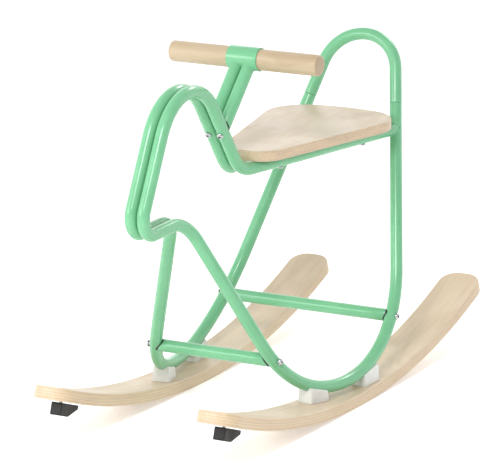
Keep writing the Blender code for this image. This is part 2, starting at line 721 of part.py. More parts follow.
def arc_band(name, low, high, reach, width, coll):
    """A curved board: the band between two offsets of the running surface, standing on the XZ plane."""
    outline = []
    for offset, way in ((low, 1), (high, -1)):
        radius = ROCKER_RADIUS - offset
        for i in range(ROCKER_STEPS + 1)[::way]:
            angle = reach * (2 * i / ROCKER_STEPS - 1)
            outline.append((ROCKER_LOW_X + radius * math.sin(angle), ROCKER_RADIUS - radius * math.cos(angle)))
    obj = flat_plate(name, outline, width, coll)
    obj.rotation_euler = (math.radians(90), 0.0, 0.0)
    bpy.context.view_layer.update()
    return obj


def rocker(word):
    """Bent plywood runner with rounded ends, bored for the saddle bolts and the stop screw."""
    side = SIDES[word]
    name = f"rocker_{word}"
    reach = math.asin((ROCKER_LENGTH / 2 + ROCKER_LOW_X + ROCKER_THICK) / ROCKER_RADIUS)
    obj = arc_band(name, 0.0, ROCKER_THICK, reach, ROCKER_WIDTH, PARTS)
    obj.location.y = ROCKER_SPREAD * side
    bpy.context.view_layer.update()
    up = Vector((0.0, 0.0, 1.0))
    cuts = [rocker_end(f"{name}_front_end", side, 1), rocker_end(f"{name}_rear_end", side, -1)]
    for place in SADDLE_X:
        point, _ = saddle_seat(side, place)
        floor = Vector((point.x, point.y, 0.0))
        head_top = rocker_z(point.x) + BOLT_HEAD_H + HEAD_COVER
        cuts.append(bar_between(f"{name}_{place}_bolt_hole", floor - up * TUBE_R, point,
                                BOLT_HOLE_D / 2, SMALL_SIDES, CUTTERS))
        cuts.append(bar_between(f"{name}_{place}_head_hole", floor - up * TUBE_R, floor + up * head_top,
                                BOLT_HEAD_D / 2 + GAP, SMALL_SIDES, CUTTERS))
    head, normal = stop_screw_line(side)
    cuts.append(bar_between(f"{name}_stop_hole", head, head + normal * (STOP_HEIGHT + STOP_PILOT + GAP),
                            SCREW_D / 2 + GAP, SMALL_SIDES, CUTTERS))
    return paint(combine(obj, cuts, "DIFFERENCE"), "rocker_ply")


def saddle(word, place):
    """Tapered block between a rocker and a foot tube, its top sloping with the tube and grooved for it."""
    side = SIDES[word]
    name = f"saddle_{place}_{word}"
    point, slope = saddle_seat(side, place)
    top_z = point.z - TUBE_R + SADDLE_WRAP
    mesh = bpy.data.meshes.new(name)
    work = bmesh.new()
    bmesh.ops.create_cube(work, size=1.0)
    full = Vector((SADDLE_LENGTH, SADDLE_WIDTH, top_z))
    grade = slope.z / math.hypot(slope.x, slope.y)
    for vert in work.verts:
        shrink = SADDLE_TAPER if vert.co.z > 0 else 1.0
        along, across = vert.co.x * full.x * shrink, vert.co.y * full.y * shrink
        rise = along * grade if vert.co.z > 0 else 0.0
        vert.co = Vector((along, across, vert.co.z * full.z + rise))
    work.to_mesh(mesh)
    work.free()
    obj = mesh_object(name, mesh, PARTS)
    obj.location = (point.x, point.y, top_z / 2)
    obj.rotation_euler = (0.0, 0.0, math.atan2(slope.y, slope.x))
    bpy.context.view_layer.update()
    edge = obj.modifiers.new("edge", "BEVEL")
    edge.width = SADDLE_EDGE
    edge.segments = 2
    edge.limit_method = "ANGLE"
    bake(obj)
    reach = math.asin((ROCKER_LENGTH / 2) / ROCKER_RADIUS)
    bed = arc_band(f"{name}_bed", -top_z, ROCKER_THICK + GAP, reach, ROCKER_WIDTH * 1.5, CUTTERS)
    bed.location.y = ROCKER_SPREAD * side
    tube = clearance_tube(f"{name}_tube", side)
    drill = hole(f"{name}_drill", point, Vector((0.0, 0.0, 1.0)), point.z, BOLT_HOLE_D)
    bpy.context.view_layer.update()
    return paint(combine(obj, [bed, tube, drill], "DIFFERENCE"), "white_plastic")


def nut_drop(slope):
    """Depth below a foot tube's axis at which a rivet nut's flat end stays inside the sloping tube."""
    level = math.hypot(slope.x, slope.y)
    chord = math.sqrt(TUBE_R ** 2 - (NUT_D / 2) ** 2)
    return (chord - NUT_D / 2 * abs(slope.z)) / level


def saddle_fixings(word, place):
    """Bolt up through a rocker and saddle, and the rivet nut it holds in the tube."""
    side = SIDES[word]
    up = Vector((0.0, 0.0, 1.0))
    point, slope = saddle_seat(side, place)
    seat = Vector((point.x, point.y, rocker_z(point.x) + BOLT_HEAD_H + HEAD_COVER - GAP))
    nut_base = point - up * nut_drop(slope)
    threaded_sleeve(f"rivet_nut_{place}_{word}", nut_base, up, TUBE_R - CUT_OVER / 2, NUT_D, BOLT_HOLE_D)
    headed_fastener(f"saddle_bolt_{place}_{word}", seat, up, nut_base.z + TUBE_R * 0.7 - seat.z,
                    (BOLT_D, BOLT_HEAD_D, BOLT_HEAD_H), "zinc_steel")


def stop_frame(side):
    """Front top point of a stop, and its rearward and upward directions, square to the rocker."""
    slope = math.asin((STOP_X - ROCKER_LOW_X) / ROCKER_RADIUS)
    normal = Vector((-math.sin(slope), 0.0, math.cos(slope)))
    back = Vector((-math.cos(slope), 0.0, -math.sin(slope)))
    sag = STOP_LENGTH ** 2 / (2 * ROCKER_RADIUS)
    front = Vector((STOP_X, ROCKER_SPREAD * side, rocker_z(STOP_X))) - normal * (GAP + sag)
    return front, back, normal


def stop_screw_line(side):
    """Seat of a stop screw's head and its direction up into the rocker."""
    front, back, normal = stop_frame(side)
    return front + back * STOP_SCREW_X - normal * (STOP_HEIGHT - SCREW_HEAD_H - STOP_SCREW_SINK), normal


def tip_stop(word):
    """Rubber block under a rocker's front end, chamfered behind, with its screw."""
    side = SIDES[word]
    front, back, normal = stop_frame(side)
    cut_x, cut_z = STOP_CHAMFER
    outline = [(0.0, 0.0), (0.0, -STOP_HEIGHT), (-(STOP_LENGTH - cut_x), -STOP_HEIGHT),
               (-STOP_LENGTH, -(STOP_HEIGHT - cut_z)), (-STOP_LENGTH, 0.0)]
    obj = flat_plate(f"tip_stop_{word}", outline, STOP_WIDTH, PARTS)
    obj.location = front
    obj.rotation_euler = (math.radians(90), math.atan2(back.z, -back.x), 0.0)
    bpy.context.view_layer.update()
    seat, _ = stop_screw_line(side)
    cuts = [
        bar_between(f"tip_stop_{word}_shank", seat - normal * STOP_HEIGHT, seat + normal * STOP_HEIGHT * 2,
                    SCREW_HOLE_D / 2, SMALL_SIDES, CUTTERS),
        bar_between(f"tip_stop_{word}_head", seat - normal * STOP_HEIGHT, seat + normal * GAP,
                    SCREW_HEAD_D / 2 + GAP, SMALL_SIDES, CUTTERS),
    ]
    paint(combine(obj, cuts, "DIFFERENCE"), "black_plastic")
    headed_fastener(f"stop_screw_{word}", seat, normal, STOP_HEIGHT - SCREW_HEAD_H + STOP_BITE,
                    (SCREW_D, SCREW_HEAD_D, SCREW_HEAD_H), "zinc_steel")


# ---------------------------------------------------------------- assembly
def build():
    """Build every piece of the rocking horse."""
    for word in SIDES:
        side_frame(word)
        rocker(word)
        for place in SADDLE_X:
            saddle(word, place)
            saddle_fixings(word, place)
        tip_stop(word)
    backrest_hoop()
    seat_panel()
    seat_fixings()
    handle_dowel()
    handle_bracket()
    handle_fixings()
    crossbar("front", FRONT_BAR_Z, False)
    crossbar("rear", REAR_BAR_Z, True)


build()
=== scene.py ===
"""Looks of a child's rocking horse.

Two bent and powder-coated tubes make the head, legs and rails. They carry a plywood seat, a tube hoop
behind it and a round wooden handle, and stand on two bent plywood runners. +X is towards the nose, +Y
the horse's left and +Z up; all lengths are in metres.
"""
import logging
import math
from collections.abc import Sequence
from dataclasses import dataclass, field
from enum import Enum

import bmesh
import bpy
import numpy as np
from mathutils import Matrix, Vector


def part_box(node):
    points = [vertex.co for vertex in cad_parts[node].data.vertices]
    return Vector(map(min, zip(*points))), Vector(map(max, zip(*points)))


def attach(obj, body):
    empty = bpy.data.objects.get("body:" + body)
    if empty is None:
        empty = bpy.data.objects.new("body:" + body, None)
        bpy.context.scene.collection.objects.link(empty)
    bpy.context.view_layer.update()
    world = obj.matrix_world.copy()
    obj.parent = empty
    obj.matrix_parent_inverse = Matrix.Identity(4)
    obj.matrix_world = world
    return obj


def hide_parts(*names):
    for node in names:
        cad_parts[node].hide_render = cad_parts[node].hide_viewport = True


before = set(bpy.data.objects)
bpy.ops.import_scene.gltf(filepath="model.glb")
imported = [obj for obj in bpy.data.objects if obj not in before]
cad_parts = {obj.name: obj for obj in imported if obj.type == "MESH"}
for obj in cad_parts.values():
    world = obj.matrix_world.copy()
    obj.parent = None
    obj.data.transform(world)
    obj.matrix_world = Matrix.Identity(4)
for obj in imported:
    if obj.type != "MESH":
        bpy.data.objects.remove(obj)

LOG = logging.getLogger("rocking_horse")
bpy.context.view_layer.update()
Array = np.ndarray
Color = tuple[float, float, float]
Socket = bpy.types.NodeSocket
Sockets = bpy.types.bpy_prop_collection

AHEAD = np.array([1.0, 0.0, 0.0])
LEFT = np.array([0.0, 1.0, 0.0])
UP = np.array([0.0, 0.0, 1.0])
SMOOTH_LIMIT = math.radians(38.0)
MERGE = 1e-6
RIM_STEPS = 5
EDGE_STEPS = 6
POCKET_REACH = 0.0200
POCKET_SOFT = 0.0001


class Side(Enum):
    """The horse's own left and right, as the sign of Y."""

    LEFT = 1.0
    RIGHT = -1.0

    @property
    def word(self) -> str:
        """Name used in piece names."""
        return self.name.lower()

    def mirror(self, points: Array) -> Array:
        """Points given for the left, carried to this side."""
        return points * np.array([1.0, self.value, 1.0])


# ------------------------------------------------------------------ shapes as arrays
def unit(vectors: Array) -> Array:
    """Vectors scaled to length one along their last axis."""
    return vectors / np.linalg.norm(vectors, axis=-1, keepdims=True)


def fillet_path(corners: Array, radii: Sequence[float], turn: float = math.radians(2.5)) -> Array:
    """Round the inner corners of a polyline.

    An arc's centre lies on the corner's bisector, at its radius over the sine of half the angle, and the
    arc runs between the two points where the circle touches the straight runs.

    Args:
        corners: Points of the polyline, one row each.
        radii: Radius at each inner corner.
        turn: Largest turn between neighbouring points.

    Returns:
        The rounded path's points, one row each.
    """
    runs = [corners[:1]]
    for before, corner, after, radius in zip(corners, corners[1:], corners[2:], radii):
        back, ahead = unit(before - corner), unit(after - corner)
        half = math.acos(float(back @ ahead)) / 2
        centre = corner + unit(back + ahead) * radius / math.sin(half)
        start = corner + back * radius / math.tan(half) - centre
        end = corner + ahead * radius / math.tan(half) - centre
        sweep = math.pi - 2 * half
        t = np.linspace(0.0, 1.0, max(3, math.ceil(sweep / turn)))[:, None]
        runs.append(centre + (start * np.sin((1 - t) * sweep) + end * np.sin(t * sweep)) / math.sin(sweep))
    runs.append(corners[-1:])
    return np.concatenate(runs)


def travelled(path: Array) -> Array:
    """Distance along a path to each of its points."""
    return np.concatenate([[0.0], np.cumsum(np.linalg.norm(np.diff(path, axis=0), axis=1))])


def at_distance(path: Array, distance: Array) -> tuple[Array, Array]:
    """Points and directions at distances along a path, each coordinate interpolated on its own."""
    run = travelled(path)
    leg = unit(np.diff(path, axis=0))
    lean = unit(np.concatenate([leg[:1], leg[:-1] + leg[1:], leg[-1:]]))
    points, leans = (np.stack([np.interp(distance, run, rows[:, k]) for k in range(3)], axis=-1)
                     for rows in (path, lean))
    return points, unit(leans)


def where(path: Array, axis: int, value: float) -> tuple[Array, Array]:
    """First point of a path, and its direction there, at which one coordinate has a value."""
    low, high = path[:-1, axis] - value, path[1:, axis] - value
    i = int(np.argmax(low * high <= 0))
    t = low[i] / (low[i] - high[i])
    return path[i] + t * (path[i + 1] - path[i]), unit(path[i + 1] - path[i])


def around(axis: Array, hint: Array) -> tuple[Array, Array]:
    """Two unit vectors square to each axis, the first one nearest the hint, the second axis x first."""
    first = unit(hint - np.sum(axis * hint, axis=-1, keepdims=True) * axis)
    return first, np.cross(axis, first)


def circle(sides: int) -> Array:
    """Evenly spaced angles round a circle."""
    return np.arange(sides) * (2 * math.pi / sides)


def rings(centres: Array, axes: Array, radii: Array, hint: Array, sides: int) -> Array:
    """Rings of points: centre + radius (cos a first + sin a second), for every centre and angle.

    Args:
        centres: Ring centres, (n, 3).
        axes: Ring axes, (n, 3).
        radii: Radii, (n,) or (n, sides).
        hint: Direction that angle zero leans to.
        sides: Points in a ring.

    Returns:
        Points, (n, sides, 3).
    """
    first, second = around(axes, hint)
    angle = circle(sides)[None, :, None]
    spoke = np.cos(angle) * first[:, None] + np.sin(angle) * second[:, None]
    reach = np.asarray(radii)
    return centres[:, None] + spoke * (reach[:, None, None] if reach.ndim == 1 else reach[:, :, None])


@dataclass
class Shell:
    """A mesh in the making: points and faces."""

    points: Array
    faces: list[list[int]]

    def __add__(self, other: "Shell") -> "Shell":
        """Both shells in one mesh."""
        step = len(self.points)
        return Shell(np.concatenate([self.points, other.points]),
                     self.faces + [[i + step for i in face] for face in other.faces])


def quads(rows: int, sides: int, loop: bool) -> list[list[int]]:
    """Faces of a grid of rings, facing away from the axis that the rings follow.

    Args:
        rows: Number of rings.
        sides: Points in a ring.
        loop: Whether the last ring joins the first.

    Returns:
        Four point numbers for each face.
    """
    i, j = np.meshgrid(np.arange(rows if loop else rows - 1), np.arange(sides), indexing="ij")
    k, nxt = (j + 1) % sides, (i + 1) % rows
    corners = [i * sides + j, i * sides + k, nxt * sides + k, nxt * sides + j]
    return np.stack(corners, -1).reshape(-1, 4).tolist()


def capped(grid: Array) -> Shell:
    """A closed shell of rings, each end drawn together at the middle of its last ring."""
    rows, sides = grid.shape[:2]
    points = np.concatenate([grid.reshape(-1, 3), grid[:1].mean(axis=1), grid[-1:].mean(axis=1)])
    j = np.arange(sides)
    k, last = (j + 1) % sides, (rows - 1) * sides
    low = np.stack([np.full(sides, rows * sides), k, j], -1)
    high = np.stack([np.full(sides, rows * sides + 1), last + j, last + k], -1)
    return Shell(points, quads(rows, sides, False) + low.tolist() + high.tolist())


def looped(grid: Array) -> Shell:
    """A closed shell whose last ring joins its first."""
    rows, sides = grid.shape[:2]
    return Shell(grid.reshape(-1, 3), quads(rows, sides, True))


def open_grid(grid: Array) -> Shell:
    """A shell of rings whose first and last rings fold flat, to be merged."""
    rows, sides = grid.shape[:2]
    return Shell(grid.reshape(-1, 3), quads(rows, sides, False))


def swept_bar(path: Array, radius: float, hint: Array, soft: float = 0.0005, sides: int = 48) -> Shell:
    """A round bar along a path, its end rims rounded.

    At an angle a from the end face, the rim is soft (1 - cos a) along and radius - soft (1 - sin a) out.

    Args:
        path: Points of the bar's axis.
        radius: Radius of the bar.
        hint: Direction never along the path, which keeps the rings from twisting.
        soft: Radius of the end rims.
        sides: Points in a ring.

    Returns:
        The closed shell.
    """
    run = travelled(path)
    angle = np.linspace(0.0, math.pi / 2, RIM_STEPS)
    depth, rim = soft * (1 - np.cos(angle)), radius - soft * (1 - np.sin(angle))
    middle = run[(run > 2 * soft) & (run < run[-1] - 2 * soft)]
    flat = np.array([rim[0] * 0.9])
    distance = np.concatenate([[0.0], depth, middle, run[-1] - depth[::-1], run[-1:]])
    radii = np.concatenate([flat, rim, np.full(len(middle), radius), rim[::-1], flat])
    centres, axes = at_distance(path, distance)
    return capped(rings(centres, axes, radii, hint, sides))


def straight_bar(start: Array, end: Array, radius: float, soft: float = 0.0005, sides: int = 48) -> Shell:
    """A straight round bar with rounded rims."""
    hint = UP if abs(unit(end - start)[2]) < 0.9 else AHEAD
    steps = np.linspace(0.0, 1.0, 9)[:, None]
    return swept_bar(start + (end - start) * steps, radius, hint, soft, sides)


def pocket(bottom: Array, way: Array, radius: float) -> Shell:
    """A cutter for a round pocket, from well outside the piece to the pocket's bottom."""
    return straight_bar(bottom - way * POCKET_REACH, bottom, radius, POCKET_SOFT)


@dataclass(frozen=True)
class Bore:
    """An endless cylinder: a point of its axis, its direction and its radius."""

    point: Array
    axis: Array
    radius: float

    def met_by(self, starts: Array, heading: Array) -> Array:
        """Where lines from some points meet the cylinder.

        Square to the axis, |w + t h| equals the radius; the larger root t is the side towards heading.

        Args:
            starts: Points on the lines, (n, 3).
            heading: Common direction of the lines.

        Returns:
            Points on the cylinder, (n, 3).
        """
        w = starts - self.point
        w = w - (w @ self.axis)[:, None] * self.axis
        h = heading - (heading @ self.axis) * self.axis
        a, b, c = h @ h, 2 * (w @ h), np.sum(w * w, axis=1) - self.radius ** 2
        t = (-b + np.sqrt(np.maximum(b * b - 4 * a * c, 0.0))) / (2 * a)
        return starts + t[:, None] * heading


def weld_bead(seam: Array, inside: Array, thickness: float, ripples: int, swell: float = 0.1,
              sides: int = 10) -> Shell:
    """A bead of weld along a closed seam.

    Its radius is thickness (1 + swell cos of ripples turns per lap), as a welder's steps leave it.

    Args:
        seam: Points of the seam in order, (n, 3).
        inside: A point the seam goes round.
        thickness: Mean radius of the bead.
        ripples: Number of steps in a lap.
        swell: Share by which a ripple is thicker or thinner than the mean.
        sides: Points in a ring.

    Returns:
        The closed shell.
    """
    axes = unit(np.roll(seam, -1, axis=0) - np.roll(seam, 1, axis=0))
    outward = seam - inside
    first = unit(outward - np.sum(outward * axes, axis=1, keepdims=True) * axes)
    second = np.cross(axes, first)
    lap = np.arange(len(seam)) * (2 * math.pi / len(seam))
    radii = thickness * (1 + swell * np.cos(ripples * lap))
    angle = circle(sides)[None, :, None]
    spoke = np.cos(angle) * first[:, None] + np.sin(angle) * second[:, None]
    return looped(seam[:, None] + spoke * radii[:, None, None])


def even_loop(loop: Array, count: int) -> Array:
    """A closed outline in a plane, with its points spaced evenly."""
    closed = np.concatenate([loop, loop[:1]])
    run = travelled(closed)
    at = np.linspace(0.0, run[-1], count, endpoint=False)
    return np.stack([np.interp(at, run, closed[:, k]) for k in range(2)], axis=-1)


def board(outline: Array, thickness: float, lower: float, upper: float, shrink: Sequence[float]) -> Array:
    """Rings of a flat board with rounded edges, from the middle of its underside over its edge to the top.

    The outline is moved in by r (1 - sin a) at a height r (1 - cos a) from each face, with r the rounding.
    Each face is the same outline drawn towards the line y = 0.

    Args:
        outline: Counter-clockwise outline, (n, 2), evenly spaced.
        thickness: Thickness of the board.
        lower: Rounding under the edge.
        upper: Rounding over the edge.
        shrink: Factors on y for the rings of a face, from its rim to its middle.

    Returns:
        Points, (rings, n, 3), heights from 0 to the thickness.
    """
    along = np.roll(outline, -1, axis=0) - np.roll(outline, 1, axis=0)
    outward = unit(np.stack([along[:, 1], -along[:, 0]], axis=-1))
    angle = np.linspace(0.0, math.pi / 2, EDGE_STEPS)
    inset = np.concatenate([lower * (1 - np.sin(angle)), upper * (1 - np.sin(angle[::-1]))])
    height = np.concatenate([lower * (1 - np.cos(angle)), thickness - upper * (1 - np.cos(angle[::-1]))])
    edge = np.concatenate([outline - inset[:, None, None] * outward,
                           np.broadcast_to(height[:, None, None], (len(height), len(outline), 1))], axis=-1)
    factor = np.asarray(shrink)[:, None]
    under = np.broadcast_to(edge[0], (len(shrink), *edge[0].shape)).copy()
    over = np.broadcast_to(edge[-1], (len(shrink), *edge[-1].shape)).copy()
    under[:, :, 1] *= factor[::-1]
    over[:, :, 1] *= factor
    return np.concatenate([under, edge, over])


# ------------------------------------------------------------------ pieces
def make_piece(name: str, shell: Shell, material: bpy.types.Material, merge: bool = False,
               fields: dict[str, Array] | None = None) -> bpy.types.Object:
    """Turn a shell into a smooth-shaded object at the origin.

    Args:
        name: Name of the piece.
        shell: Points and faces.
        material: Finish of the piece.
        merge: Whether folded rings have to be merged.
        fields: Values for each point, as named attributes.

    Returns:
        The new object.
    """
    mesh = bpy.data.meshes.new(name)
    mesh.from_pydata(shell.points.tolist(), [], shell.faces)
    for key, values in (fields or {}).items():
        mesh.attributes.new(key, "FLOAT", "POINT").data.foreach_set("value", values.astype(np.float32))
    if merge:
        work = bmesh.new()
        work.from_mesh(mesh)
        bmesh.ops.remove_doubles(work, verts=work.verts, dist=MERGE)
        bmesh.ops.dissolve_degenerate(work, edges=work.edges, dist=MERGE)
        work.to_mesh(mesh)
        work.free()
    mesh.validate()
    mesh.shade_smooth()
    mesh.set_sharp_from_angle(angle=SMOOTH_LIMIT)
    mesh.materials.append(material)
    obj = bpy.data.objects.new(name, mesh)
    bpy.context.scene.collection.objects.link(obj)
    return obj


def drill(obj: bpy.types.Object, shells: Sequence[Shell]) -> bpy.types.Object:
    """Cut closed shells out of a piece, exactly, and keep its material."""
    for n, shell in enumerate(shells):
        mesh = bpy.data.meshes.new(f"{obj.name}_drill_{n}")
        mesh.from_pydata(shell.points.tolist(), [], shell.faces)
        cutter = bpy.data.objects.new(mesh.name, mesh)
        bpy.context.scene.collection.objects.link(cutter)
        step = obj.modifiers.new("drill", "BOOLEAN")
        step.operation, step.solver, step.object = "DIFFERENCE", "EXACT", cutter
        graph = bpy.context.evaluated_depsgraph_get()
        cut = bpy.data.meshes.new_from_object(obj.evaluated_get(graph))
        obj.modifiers.clear()
        old, obj.data = obj.data, cut
        bpy.data.meshes.remove(old)
        bpy.data.objects.remove(cutter, do_unlink=True)
    obj.data.shade_smooth()
    obj.data.set_sharp_from_angle(angle=SMOOTH_LIMIT)
    return obj


def fit(obj: bpy.types.Object, slot: str, *nodes: str) -> bpy.types.Object:
    """Let a piece ride on the horse's one body, in place of the CAD nodes it stands for."""
    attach(obj, "root")
    if nodes:
        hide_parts(*nodes)
    LOG.info("%s: %d points, for %s", obj.name, len(obj.data.vertices), ", ".join(nodes) or "no node")
    return obj


# ------------------------------------------------------------------ shader nodes
class NodeSheet:
    """Short calls that lay out a shader node tree."""

    def __init__(self, tree: bpy.types.NodeTree) -> None:
        """Work on a tree."""
        self.tree = tree

    def add(self, kind: str, inputs: dict | None = None, **settings: object) -> bpy.types.Node:
        """Add a node.

        Args:
            kind: Type name without its leading ShaderNode.
            inputs: Value or socket for each named or numbered input.
            **settings: Properties of the node.

        Returns:
            The node.
        """
        node = self.tree.nodes.new("ShaderNode" + kind)
        for key, value in settings.items():
            setattr(node, key, value)
        for key, value in (inputs or {}).items():
            self.feed(node.inputs[key], value)
        return node

    def feed(self, socket: Socket, value: object) -> None:
        """Link a socket to an input, or set the input's own value."""
        if isinstance(value, Socket):
            self.tree.links.new(value, socket)
        else:
            socket.default_value = value

    def sum(self, operation: str, first: object, second: object = 0.0) -> Socket:
        """Result of a Math node."""
        return self.add("Math", {0: first, 1: second}, operation=operation).outputs[0]

    def spread(self, operation: str, first: object, second: object = (0, 0, 0)) -> Socket:
        """Vector result of a Vector Math node."""
        return self.add("VectorMath", {0: first, 1: second}, operation=operation).outputs[0]

    def noise(self, vector: object, detail: float = 2.0, rough: float = 0.5, bend: float = 0.0) -> Socket:
        """Value of a Noise Texture at scale one, so that the vector alone sets its size."""
        node = self.add("TexNoise", {"Vector": vector, "Scale": 1.0, "Detail": detail, "Roughness": rough,
                                     "Distortion": bend})
        return node.outputs["Fac"]

    def span(self, value: object, low: float, high: float, to_low: float = 0.0,
             to_high: float = 1.0) -> Socket:
        """A value's place between two limits, smoothed and carried to two others."""
        node = self.add("MapRange", {"Value": value, "From Min": low, "From Max": high, "To Min": to_low,
                                     "To Max": to_high}, interpolation_type="SMOOTHSTEP")
        return node.outputs["Result"]

    def blend(self, factor: object, first: object, second: object, how: str = "MIX") -> Socket:
        """Colour mixed from two."""
        node = self.add("Mix", {0: factor, 6: first, 7: second}, data_type="RGBA", blend_type=how)
        return node.outputs[2]

    def parts(self, vector: object) -> tuple[Socket, ...]:
        """X, Y and Z of a vector."""
        return tuple(self.add("SeparateXYZ", {0: vector}).outputs)

    def vector(self, x: object, y: object, z: object) -> Socket:
        """A vector from its three parts."""
        return self.add("CombineXYZ", {0: x, 1: y, 2: z}).outputs[0]

    def bump(self, shader: bpy.types.Node, height: object, relief: tuple[float, float]) -> None:
        """Roughen a shader's surface by a height that varies.

        Args:
            shader: The Principled shader.
            height: Height that varies over the surface.
            relief: Strength of the effect, and depth of the height's full range.
        """
        strength, depth = relief
        node = self.add("Bump", {"Height": height, "Strength": strength, "Distance": depth})
        self.feed(shader.inputs["Normal"], node.outputs["Normal"])


class SharedEffect:
    """A node group used by several finishes, built once."""

    name: str = ""
    takes: dict[str, tuple[str, object]] = {}
    gives: dict[str, str] = {}
    _made: dict[str, bpy.types.NodeTree] = {}

    @classmethod
    def tree(cls) -> bpy.types.NodeTree:
        """The group's node tree, made at its first use."""
        if cls.name not in SharedEffect._made:
            tree = bpy.data.node_groups.new(cls.name, "ShaderNodeTree")
            for key, (kind, value) in cls.takes.items():
                socket = tree.interface.new_socket(key, in_out="INPUT", socket_type=f"NodeSocket{kind}")
                if value is not None:
                    socket.default_value = value
            for key, kind in cls.gives.items():
                tree.interface.new_socket(key, in_out="OUTPUT", socket_type=f"NodeSocket{kind}")
            sheet = NodeSheet(tree)
            source = tree.nodes.new("NodeGroupInput")
            target = tree.nodes.new("NodeGroupOutput")
            for key, result in cls.lay_out(sheet, source.outputs).items():
                tree.links.new(result, target.inputs[key])
            SharedEffect._made[cls.name] = tree
        return SharedEffect._made[cls.name]

    @classmethod
    def lay_out(cls, sheet: NodeSheet, takes: Sockets) -> dict[str, Socket]:
        """Lay out the group's nodes.

        Args:
            sheet: The group's tree.
            takes: Sockets of the group's inputs.

        Returns:
            The socket that each output shows.
        """
        raise NotImplementedError

    @classmethod
    def place(cls, sheet: NodeSheet, **inputs: object) -> Sockets:
        """Place the group in a material, with spaces in input names written as underscores."""
        node = sheet.tree.nodes.new("ShaderNodeGroup")
        node.node_tree = cls.tree()
        for key, value in inputs.items():
            sheet.feed(node.inputs[key.replace("_", " ")], value)
        return node.outputs


class WoodFigure(SharedEffect):
    """Long-grained veneer: broad watery figure, fine fibres and short pores, with the grain along X."""

    name = "wood figure"
    takes = {"Vector": ("Vector", None), "Figure Size": ("Float", 1.0), "Fibre Size": ("Float", 1.0)}
    gives = {"Figure": "Float", "Fibre": "Float", "Pores": "Float"}
    figure_rate = (4.0, 16.0, 16.0)
    streak_rate = (24.0, 700.0, 700.0)
    coarse_rate = (9.0, 190.0, 190.0)
    pore_rate = (170.0, 1900.0, 1900.0)
    bands = 34.0
    pore_limits = (0.66, 0.76)

    @classmethod
    def lay_out(cls, sheet: NodeSheet, takes: Sockets) -> dict[str, Socket]:
        """Stretch one noise per effect along X, by its rate per metre along the grain and across it.

        That makes the figure about 250 mm long, the fibres 40 mm and the pores 6 mm.
        """
        figure_size, fibre_size = takes["Figure Size"], takes["Fibre Size"]
        broad = sheet.spread("DIVIDE", takes["Vector"], sheet.vector(figure_size, figure_size, figure_size))
        fine = sheet.spread("DIVIDE", takes["Vector"], sheet.vector(fibre_size, fibre_size, fibre_size))
        drift = sheet.noise(sheet.spread("MULTIPLY", broad, cls.figure_rate), 2.0, 0.5, 0.4)
        bands = sheet.sum("SINE", sheet.sum("MULTIPLY", drift, cls.bands))
        figure = sheet.sum("ADD", sheet.sum("MULTIPLY", drift, 0.7), sheet.sum("MULTIPLY", bands, 0.12))
        streak = sheet.noise(sheet.spread("MULTIPLY", fine, cls.streak_rate), 4.0, 0.6)
        coarse = sheet.noise(sheet.spread("MULTIPLY", fine, cls.coarse_rate), 2.0, 0.5)
        fibre = sheet.sum("ADD", sheet.sum("MULTIPLY", streak, 0.6), sheet.sum("MULTIPLY", coarse, 0.4))
        dash = sheet.noise(sheet.spread("MULTIPLY", fine, cls.pore_rate), 1.0, 0.5)
        return {"Figure": figure, "Fibre": fibre, "Pores": sheet.span(dash, *cls.pore_limits)}


class PlyLayers(SharedEffect):
    """Layers of plywood through its thickness: every second one runs across, with a glue line between."""

    name = "ply layers"
    takes = {"Depth": ("Float", 0.0), "Thickness": ("Float", 0.018), "Layers": ("Float", 9.0),
             "Waver": ("Float", 0.0)}
    gives = {"Cross": "Float", "Glue": "Float"}
    skin = (0.7, 0.9)
    change = (0.42, 0.58)
    line = (0.11, 0.03)

    @classmethod
    def lay_out(cls, sheet: NodeSheet, takes: Sockets) -> dict[str, Socket]:
        """Number the layers by depth, from zero; odd ones run across, and a new number is a glue line.

        Neither shows on the outermost layers, so that the faces stay plain. The limits are shares of a
        layer: where its skin ends, where a cross layer fades in, and how far a glue line spreads.
        """
        share = sheet.sum("DIVIDE", takes["Depth"], takes["Thickness"])
        count = sheet.sum("ADD", sheet.sum("MULTIPLY", share, takes["Layers"]), takes["Waver"])
        rest = sheet.sum("SUBTRACT", takes["Layers"], count)
        inner = sheet.sum("MULTIPLY", sheet.span(count, *cls.skin), sheet.span(rest, *cls.skin))
        odd = sheet.sum("PINGPONG", sheet.sum("SUBTRACT", count, 0.5), 1.0)
        cross = sheet.sum("MULTIPLY", sheet.span(odd, *cls.change), inner)
        within = sheet.sum("FRACT", sheet.sum("ADD", count, 0.5))
        edge = sheet.sum("ABSOLUTE", sheet.sum("SUBTRACT", within, 0.5))
        glue = sheet.sum("MULTIPLY", sheet.span(edge, *cls.line), inner)
        return {"Cross": cross, "Glue": glue}


class BentToFlat(SharedEffect):
    """Lay a bent runner flat: distance along its bend, across it, and depth from its running face."""

    name = "bent to flat"
    takes = {"Vector": ("Vector", None), "Radius": ("Float", 1.17), "Low X": ("Float", 0.0)}
    gives = {"Flat": "Vector"}

    @classmethod
    def lay_out(cls, sheet: NodeSheet, takes: Sockets) -> dict[str, Socket]:
        """Polar coordinates about the bend's centre, which lies one radius above the lowest point."""
        x, y, z = sheet.parts(takes["Vector"])
        level = sheet.sum("SUBTRACT", x, takes["Low X"])
        drop = sheet.sum("SUBTRACT", takes["Radius"], z)
        reach = sheet.sum("SQRT", sheet.sum("ADD", sheet.sum("MULTIPLY", level, level),
                                            sheet.sum("MULTIPLY", drop, drop)))
        along = sheet.sum("MULTIPLY", sheet.sum("ARCTAN2", level, drop), takes["Radius"])
        return {"Flat": sheet.vector(along, y, sheet.sum("SUBTRACT", takes["Radius"], reach))}


